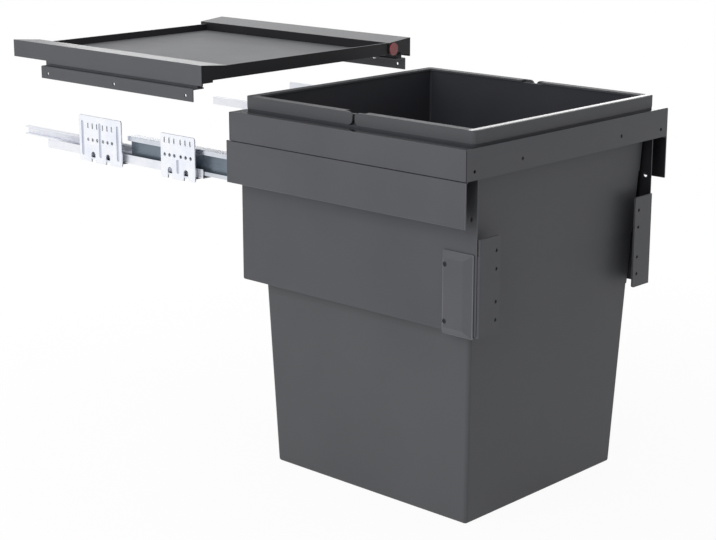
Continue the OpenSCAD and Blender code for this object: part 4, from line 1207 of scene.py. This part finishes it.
@dataclass
class WallBrackets(Assembly):
    """Zinc plates on the cabinet walls, with slots, holes, arches and pressed beads."""

    face: float = -209.0
    sheet: float = 2.0
    low: float = -75.5
    foot: float = -69.5
    foot_end: float = -182.7
    pitch: float = 32.0
    step: float = 9.7
    hole_radius: float = 2.5
    hole_rise: float = 31.5
    slot_rise: float = 51.0
    slot_half: Flat = (1.5, 4.0)
    arch_half: Flat = (4.5, 15.0)
    bead_half: float = 2.5
    bead_depth: float = 0.8
    bead_margin: float = 8.0
    corner: float = 3.0
    rivet_x: float = -191.75

    def plate(self, name: str, y: float, size: Flat, beads: Sequence[float], bead_top: float) -> None:
        """Builds one plate with its foot and sets it and its mirror image in place.

        Args:
            name: Which plate it is.
            y: Its middle.
            size: Its length along the wall and its height.
            beads: Places of its beads from the middle.
            bead_top: Height of the beads' upper ends above the plate's lower edge.
        """
        x0, t, low = self.face, self.sheet, self.low
        x1, foot = x0 + t, self.foot - t
        half, rise = size[0] / 2, size[1] / 2
        outline = rounded(half, rise, self.corner, (y, low + rise), 5)
        plate = self.drawn(f"left_{name}_plate", outline, Axis.X, x0, x1)
        self.weld(plate, self.block("foot", (x0 + t / 4, y - half + self.corner, foot),
                                    (self.foot_end, y + half - self.corner, self.foot)))
        self.soften(plate, 0.4)
        tools = []
        for mid in (y - self.pitch / 2, y + self.pitch / 2):
            for place in (mid - self.step, mid, mid + self.step):
                tools += self.holes(self.hole_radius, Axis.X, [(x0, place, low + self.hole_rise)], t, 24)
                slot = rounded(*self.slot_half, self.slot_half[0] - NEAR, (place, low + self.slot_rise), 6)
                tools.append(self.drawn("slot", slot, Axis.X, x0 - PAST, x1 + PAST))
            arch = rounded(*self.arch_half, self.arch_half[0] - NEAR, (mid, low))
            tools.append(self.drawn("arch", arch, Axis.X, x0 - PAST, x1))
            tools += self.holes(RIVET_HOLE, Axis.Z, [(self.rivet_x, mid, foot)], t, 24)
        bead_low, bottom = low + self.bead_margin, x0 + self.bead_depth
        for bead in beads:
            shape = rounded(self.bead_half, (low + bead_top - bead_low) / 2, self.bead_half - NEAR,
                            (y + bead, (low + bead_top + bead_low) / 2), 6)
            groove = self.drawn("bead", shape, Axis.X, x0 - self.bead_depth, bottom)
            self.round_edges(groove, 0.7, 3, lambda mid, way: mid.x > bottom - NEAR)
            tools.append(groove)
        self.cut(plate, *tools)
        # Slot 1 paints shade in the beads and slot 2 paints shade on the foot
        self.place(plate, "cabinet_side", Slot.ZINC, f"{{side}}_{name}_wall_bracket",
                   (Look.ZINC, Look.BEAD_SHADE, Look.CHANNEL_SHADE),
                   ((1, lambda mid, way: x0 + 0.05 < mid.x < bottom + 0.05
                     and any(abs(mid.y - y - bead) < self.bead_half + 0.1 for bead in beads)),
                    (2, lambda mid, way: mid.x > x1 + 0.3)))

    def build(self) -> None:
        """Builds the four brackets."""
        self.plate("front", y=492, size=(68, 60), beads=(0,), bead_top=27)
        self.plate("rear", y=654, size=(92, 65), beads=(-38, 0, 38), bead_top=57)


@dataclass
class Runners(Assembly):
    """Carriers, races and the double-sided rails between them, with depths behind the left slide cover."""

    base: float = -203.3
    sheet: float = 1.5
    rail_t: float = 1.8
    carrier: Flat = (1.0, 22.1)
    carrier_y: Flat = (450.0, 782.0)
    foot: float = -69.5
    carrier_h: float = 12.5
    fixed: Flat = (13.2, 20.6)
    fixed_z: Flat = (-59.5, -47.5)
    fixed_y: Flat = (450.0, 852.0)
    web: Flat = (9.9, 11.7)
    lips: float = 6.6
    mid_z: Flat = (-65.5, -31.5)
    mid_y: Flat = (228.0, 605.0)
    outer_lips: Flat = (-60.0, -38.0)
    inner_lips: Flat = (-63.5, -43.5)
    drawer: Flat = (0.0, 8.4)
    drawer_z: Flat = (-56.0, -42.0)
    drawer_y: Flat = (22.0, 398.0)
    groove: float = 2.8
    groove_in: float = 2.0
    outer_ball: float = 5.9
    inner_ball: float = 15.7
    rivet_ys: tuple[float, ...] = (476.0, 508.0, 638.0, 670.0)
    rivet_s: float = 11.55

    def at(self, *depths: float) -> list[float]:
        """Across positions of depths behind the left slide cover."""
        return [self.base + depth for depth in depths]

    def grooves(self, ball: float, lips: Flat, y: Flat) -> list[Piece]:
        """Rods that cut the ball grooves along a rail, near both of its lips."""
        places = [(self.base + ball, y[0], z) for z in (lips[0] + self.groove_in, lips[1] - self.groove_in)]
        return self.holes(self.groove, Axis.Y, places, y[1] - y[0], 24)

    def rivets(self, axis: Axis, x: float, z: float, thick: float) -> list[Piece]:
        """Rods that cut a row of rivet holes through a sheet."""
        return self.holes(RIVET_HOLE, axis, [(x, y, z) for y in self.rivet_ys], thick, 24)

    def support(self) -> None:
        """Builds the folded carriers that stand on the bracket feet."""
        s0, s1 = self.at(*self.carrier)
        z0, z1, t = self.foot, self.fixed_z[1], self.sheet
        shape = [(s0, z0), (s1, z0), (s1, z1), (s1 - t, z1), (s1 - t, z0 + t), (s0 + t, z0 + t),
                 (s0 + t, z0 + self.carrier_h), (s0, z0 + self.carrier_h)]
        carrier = self.drawn("left_carrier", shape, Axis.Y, *self.carrier_y)
        self.round_edges(carrier, 1.2, 3, lambda mid, way: way.y > ALONG and mid.z < z0 + NEAR)
        self.soften(carrier, 0.3)
        self.cut(carrier, *self.rivets(Axis.Z, self.base + self.rivet_s, z0, t),
                 *self.rivets(Axis.X, s1 - t, sum(self.fixed_z) / 2, t))
        self.place(carrier, "cabinet_side", Slot.ZINC, "{side}_support_angle", (Look.CARRIER,))

    def race(self, name: str, web: Flat, z: Flat, y: Flat) -> Piece:
        """Builds a channel-shaped race.

        Args:
            name: Name of the piece.
            web: Depths of its web's outer face and of its open side.
            z: Heights of its two faces.
            y: Its two ends.

        Returns:
            The race.
        """
        back, mouth = self.at(*web)
        (z0, z1), t = z, self.rail_t
        inner = back + math.copysign(t, mouth - back)
        shape = [(mouth, z0), (back, z0), (back, z1), (mouth, z1), (mouth, z1 - t), (inner, z1 - t),
                 (inner, z0 + t), (mouth, z0 + t)]
        race = self.drawn(name, shape, Axis.Y, *y)
        self.soften(race, 0.3)
        return race

    def races(self) -> None:
        """Builds the fixed races and the drawer races."""
        fixed = self.race("left_fixed_race", self.fixed[::-1], self.fixed_z, self.fixed_y)
        web, middle = self.base + self.fixed[1] - self.rail_t, sum(self.fixed_z) / 2
        self.cut(fixed, *self.grooves(self.inner_ball, self.inner_lips, self.fixed_y),
                 *self.rivets(Axis.X, web, middle, self.rail_t))
        self.place(fixed, "cabinet_side", Slot.ZINC, "{side}_cabinet_rail", (Look.CARRIER,))
        drawer = self.race("left_drawer_race", self.drawer, self.drawer_z, self.drawer_y)
        self.cut(drawer, *self.grooves(self.outer_ball, self.outer_lips, self.drawer_y))
        self.place(drawer, "frame", Slot.ZINC, "{side}_drawer_rail", (Look.RAIL,))

    def middle_rail(self) -> None:
        """Builds the double-sided rails with their folded upper lips."""
        w0, w1 = self.at(*self.web)
        a, b, t = w0 - self.lips, w1 + self.lips, self.rail_t
        (z0, z1), (y0, y1) = self.mid_z, self.mid_y
        (o0, o1), (i0, i1) = self.outer_lips, self.inner_lips
        shape = [(a, z0), (b, z0), (b, i0), (w1, i0), (w1, i1), (b, i1), (b, z1), (a, z1), (a, o1), (w0, o1),
                 (w0, o0), (a, o0)]
        rail = self.drawn("left_double_rail", shape, Axis.Y, y0, y1)
        self.soften(rail, 0.35)
        folds = [self.block("fold", (x0 + t, y0 - PAST, z + t), (x1 - t, y1 + PAST, z1 - t))
                 for x0, x1, z in ((a, w0, o1), (w1, b, i1))]
        self.cut(rail, *folds, *self.grooves(self.outer_ball, self.outer_lips, self.mid_y),
                 *self.grooves(self.inner_ball, self.inner_lips, self.mid_y))
        # Slot 1 paints shade in the outer channel
        self.place(rail, "{side}_intermediate", Slot.ZINC, "{side}_intermediate_rail",
                   (Look.RAIL, Look.CHANNEL_SHADE),
                   ((1, lambda mid, way: o0 - 1 < mid.z < o1 + 1 and a + 0.5 < mid.x < w0 + 0.1),))

    def build(self) -> None:
        """Builds the runners' rails."""
        self.support()
        self.races()
        self.middle_rail()


@dataclass
class SmallParts(Assembly):
    """Rivets, screws, balls, cages and pins that are shown as their solids.

    Attributes:
    """

    frame: dict

    def build(self) -> None:
        """Gives each of them its finish."""
        rows = [f"{side}_{row}" for side in SIDES for row in ("outer", "inner")]
        for look, nodes in ((Look.ZINC, ["bracket_rivets", "rail_rivets", "lid_screws"]),
                            (Look.NYLON, ["handle_pins"] + [f"{row}_cage" for row in rows]),
                            (Look.BALL, [f"{row}_balls" for row in rows])):
            for node in nodes:
                for slot in self.frame["nodes"][node].material_slots:
                    slot.material = self.palette.get(look)
                LOG.info("%s keeps its solid, with %s", node, look.value.name)


@dataclass(frozen=True)
class Lamp:
    """Soft lamp that looks at a point.

    Attributes:
        name: Its name.
        power: Its power in watts.
        size: Its width and height in metres.
        place: Its place in metres.
        aim: The point it looks at.
        in_gloss: Whether glossy faces show it.
    """

    name: str
    power: float
    size: Flat
    place: Point
    aim: Point
    in_gloss: bool = False

    def hang(self) -> None:
        """Hangs the lamp."""
        data = bpy.data.lights.new(self.name, "AREA")
        data.shape = "RECTANGLE"
        data.energy = self.power
        data.size, data.size_y = self.size
        lamp = bpy.data.objects.new(self.name, data)
        bpy.context.scene.collection.objects.link(lamp)
        lamp.location = self.place
        lamp.rotation_euler = (Vector(self.aim) - Vector(self.place)).to_track_quat("-Z", "Y").to_euler()
        lamp.visible_glossy = self.in_gloss


@dataclass
class Studio:
    """Camera, floor, world and lamps, in metres."""

    pitch: float = 14.6
    heading: Flat = (0.731, 0.682)
    place: Point = (-1.7045, -1.2307, 0.3915)
    lens: float = 87.39
    sensor: float = 36.0
    far: float = 40.0
    floor_z: float = -0.4547
    ambient: float = 0.30
    shadow_reach: Flat = (0.3, 1.3)
    floor_white: Flat = (0.93, 1.0)
    lamps: tuple[Lamp, ...] = (
        Lamp("key softbox", 57.0, (2.4, 2.4), (-2.6, 0.2, 1.0), (0, 0.3, -0.1)),
        Lamp("top softbox", 12.0, (2.4, 2.4), (0.2, 0.4, 2.4), (0, 0.4, 0)),
        Lamp("back softbox", 12.6, (2.8, 0.72), (3.2, 2.88, 0.28), (0, 0.4, 0), True),
        Lamp("right fill", 16.0, (2.0, 0.8), (2.8, 0.2, -0.05), (0, 0.2, -0.2)),
        Lamp("rear fill", 16.0, (2.0, 0.8), (0.2, 3.4, -0.05), (0, 0.4, -0.2)))

    def camera(self) -> None:
        """Sets up the camera at the photograph's viewing angle."""
        pitch = math.radians(self.pitch)
        flat = [part * math.cos(pitch) for part in self.heading]
        ahead = Vector((*flat, -math.sin(pitch))).normalized()
        right = ahead.cross(Vector((0, 0, 1))).normalized()
        data = bpy.data.cameras.new("studio camera")
        data.sensor_width = self.sensor
        data.lens = self.lens
        data.clip_end = self.far
        camera = bpy.data.objects.new("studio camera", data)
        bpy.context.scene.collection.objects.link(camera)
        turn = Matrix((right, right.cross(ahead), -ahead)).transposed().to_4x4()
        turn.translation = Vector(self.place)
        camera.matrix_world = turn
        bpy.context.scene.camera = camera

    @staticmethod
    def seen(graph: Graph) -> Node:
        """Adds a node that tells whether a ray comes from the camera, a gloss or a glass."""
        path = graph.add("LightPath")
        first, second = (graph.add("Math", operation="MAXIMUM") for _ in range(2))
        graph.wire((path, "Is Camera Ray", first, 0), (path, "Is Glossy Ray", first, 1),
                   (first, "Value", second, 0), (path, "Is Transmission Ray", second, 1))
        return second

    def world(self) -> None:
        """Makes a soft grey ambience that looks white behind the object and in its gloss."""
        world = bpy.data.worlds.new("studio")
        bpy.context.scene.world = world
        world.use_nodes = True
        graph, nodes = Graph(world.node_tree), world.node_tree.nodes
        soft = nodes["Background"]
        soft.inputs["Color"].default_value = (0.97, 0.98, 1, 1)
        soft.inputs["Strength"].default_value = self.ambient
        white = graph.add("Background", {"Color": (1, 1, 1, 1)})
        mix = graph.add("MixShader")
        graph.wire((self.seen(graph), "Value", mix, "Fac"), (soft, "Background", mix, 1),
                   (white, "Background", mix, 2), (mix, "Shader", nodes["World Output"], "Surface"))

    def floor(self) -> None:
        """Lays a white floor that keeps a soft shadow near the object and is plain white further off."""
        Bench.clear()
        bpy.ops.mesh.primitive_plane_add(size=self.far, location=(0, 0, self.floor_z))
        plane = bpy.context.object
        plane.name = "studio_floor"
        bpy.ops.object.transform_apply(location=True)
        material = bpy.data.materials.new("white floor")
        material.use_nodes = True
        graph, nodes = Graph(material.node_tree), material.node_tree.nodes
        nodes.remove(nodes["Principled BSDF"])
        paint = graph.add("BsdfDiffuse", {"Color": (0.9, 0.9, 0.9, 1)})
        white = graph.add("Emission")
        place = graph.add("TexCoord")
        length = graph.add("VectorMath", operation="LENGTH")
        fade = graph.add("MapRange", {"From Min": self.shadow_reach[0], "From Max": self.shadow_reach[1],
                                      "To Min": self.floor_white[0], "To Max": self.floor_white[1]})
        share = graph.add("Math", operation="MULTIPLY")
        mix = graph.add("MixShader")
        graph.wire((place, "Object", length, 0), (length, "Value", fade, "Value"), (fade, "Result", share, 0),
                   (self.seen(graph), "Value", share, 1), (share, "Value", mix, "Fac"),
                   (paint, "BSDF", mix, 1), (white, "Emission", mix, 2),
                   (mix, "Shader", nodes["Material Output"], "Surface"))
        plane.data.materials.append(material)

    def build(self) -> None:
        """Builds the studio."""
        self.camera()
        self.world()
        self.floor()
        for lamp in self.lamps:
            lamp.hang()
        bpy.context.scene.view_settings.view_transform = "Standard"


def main() -> None:
    """Loads the solids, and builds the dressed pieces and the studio."""
    logging.basicConfig(level=logging.INFO, format="%(name)s: %(message)s")
    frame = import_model()
    palette = Palette()
    for maker in (BandRing, SideSheets, DoorBrackets, Bin, Lid, WallBrackets, Runners):
        maker(palette).build()
    SmallParts(palette, frame).build()
    Studio().build()
    Bench.clear()


if __name__ == "__main__":
    main()
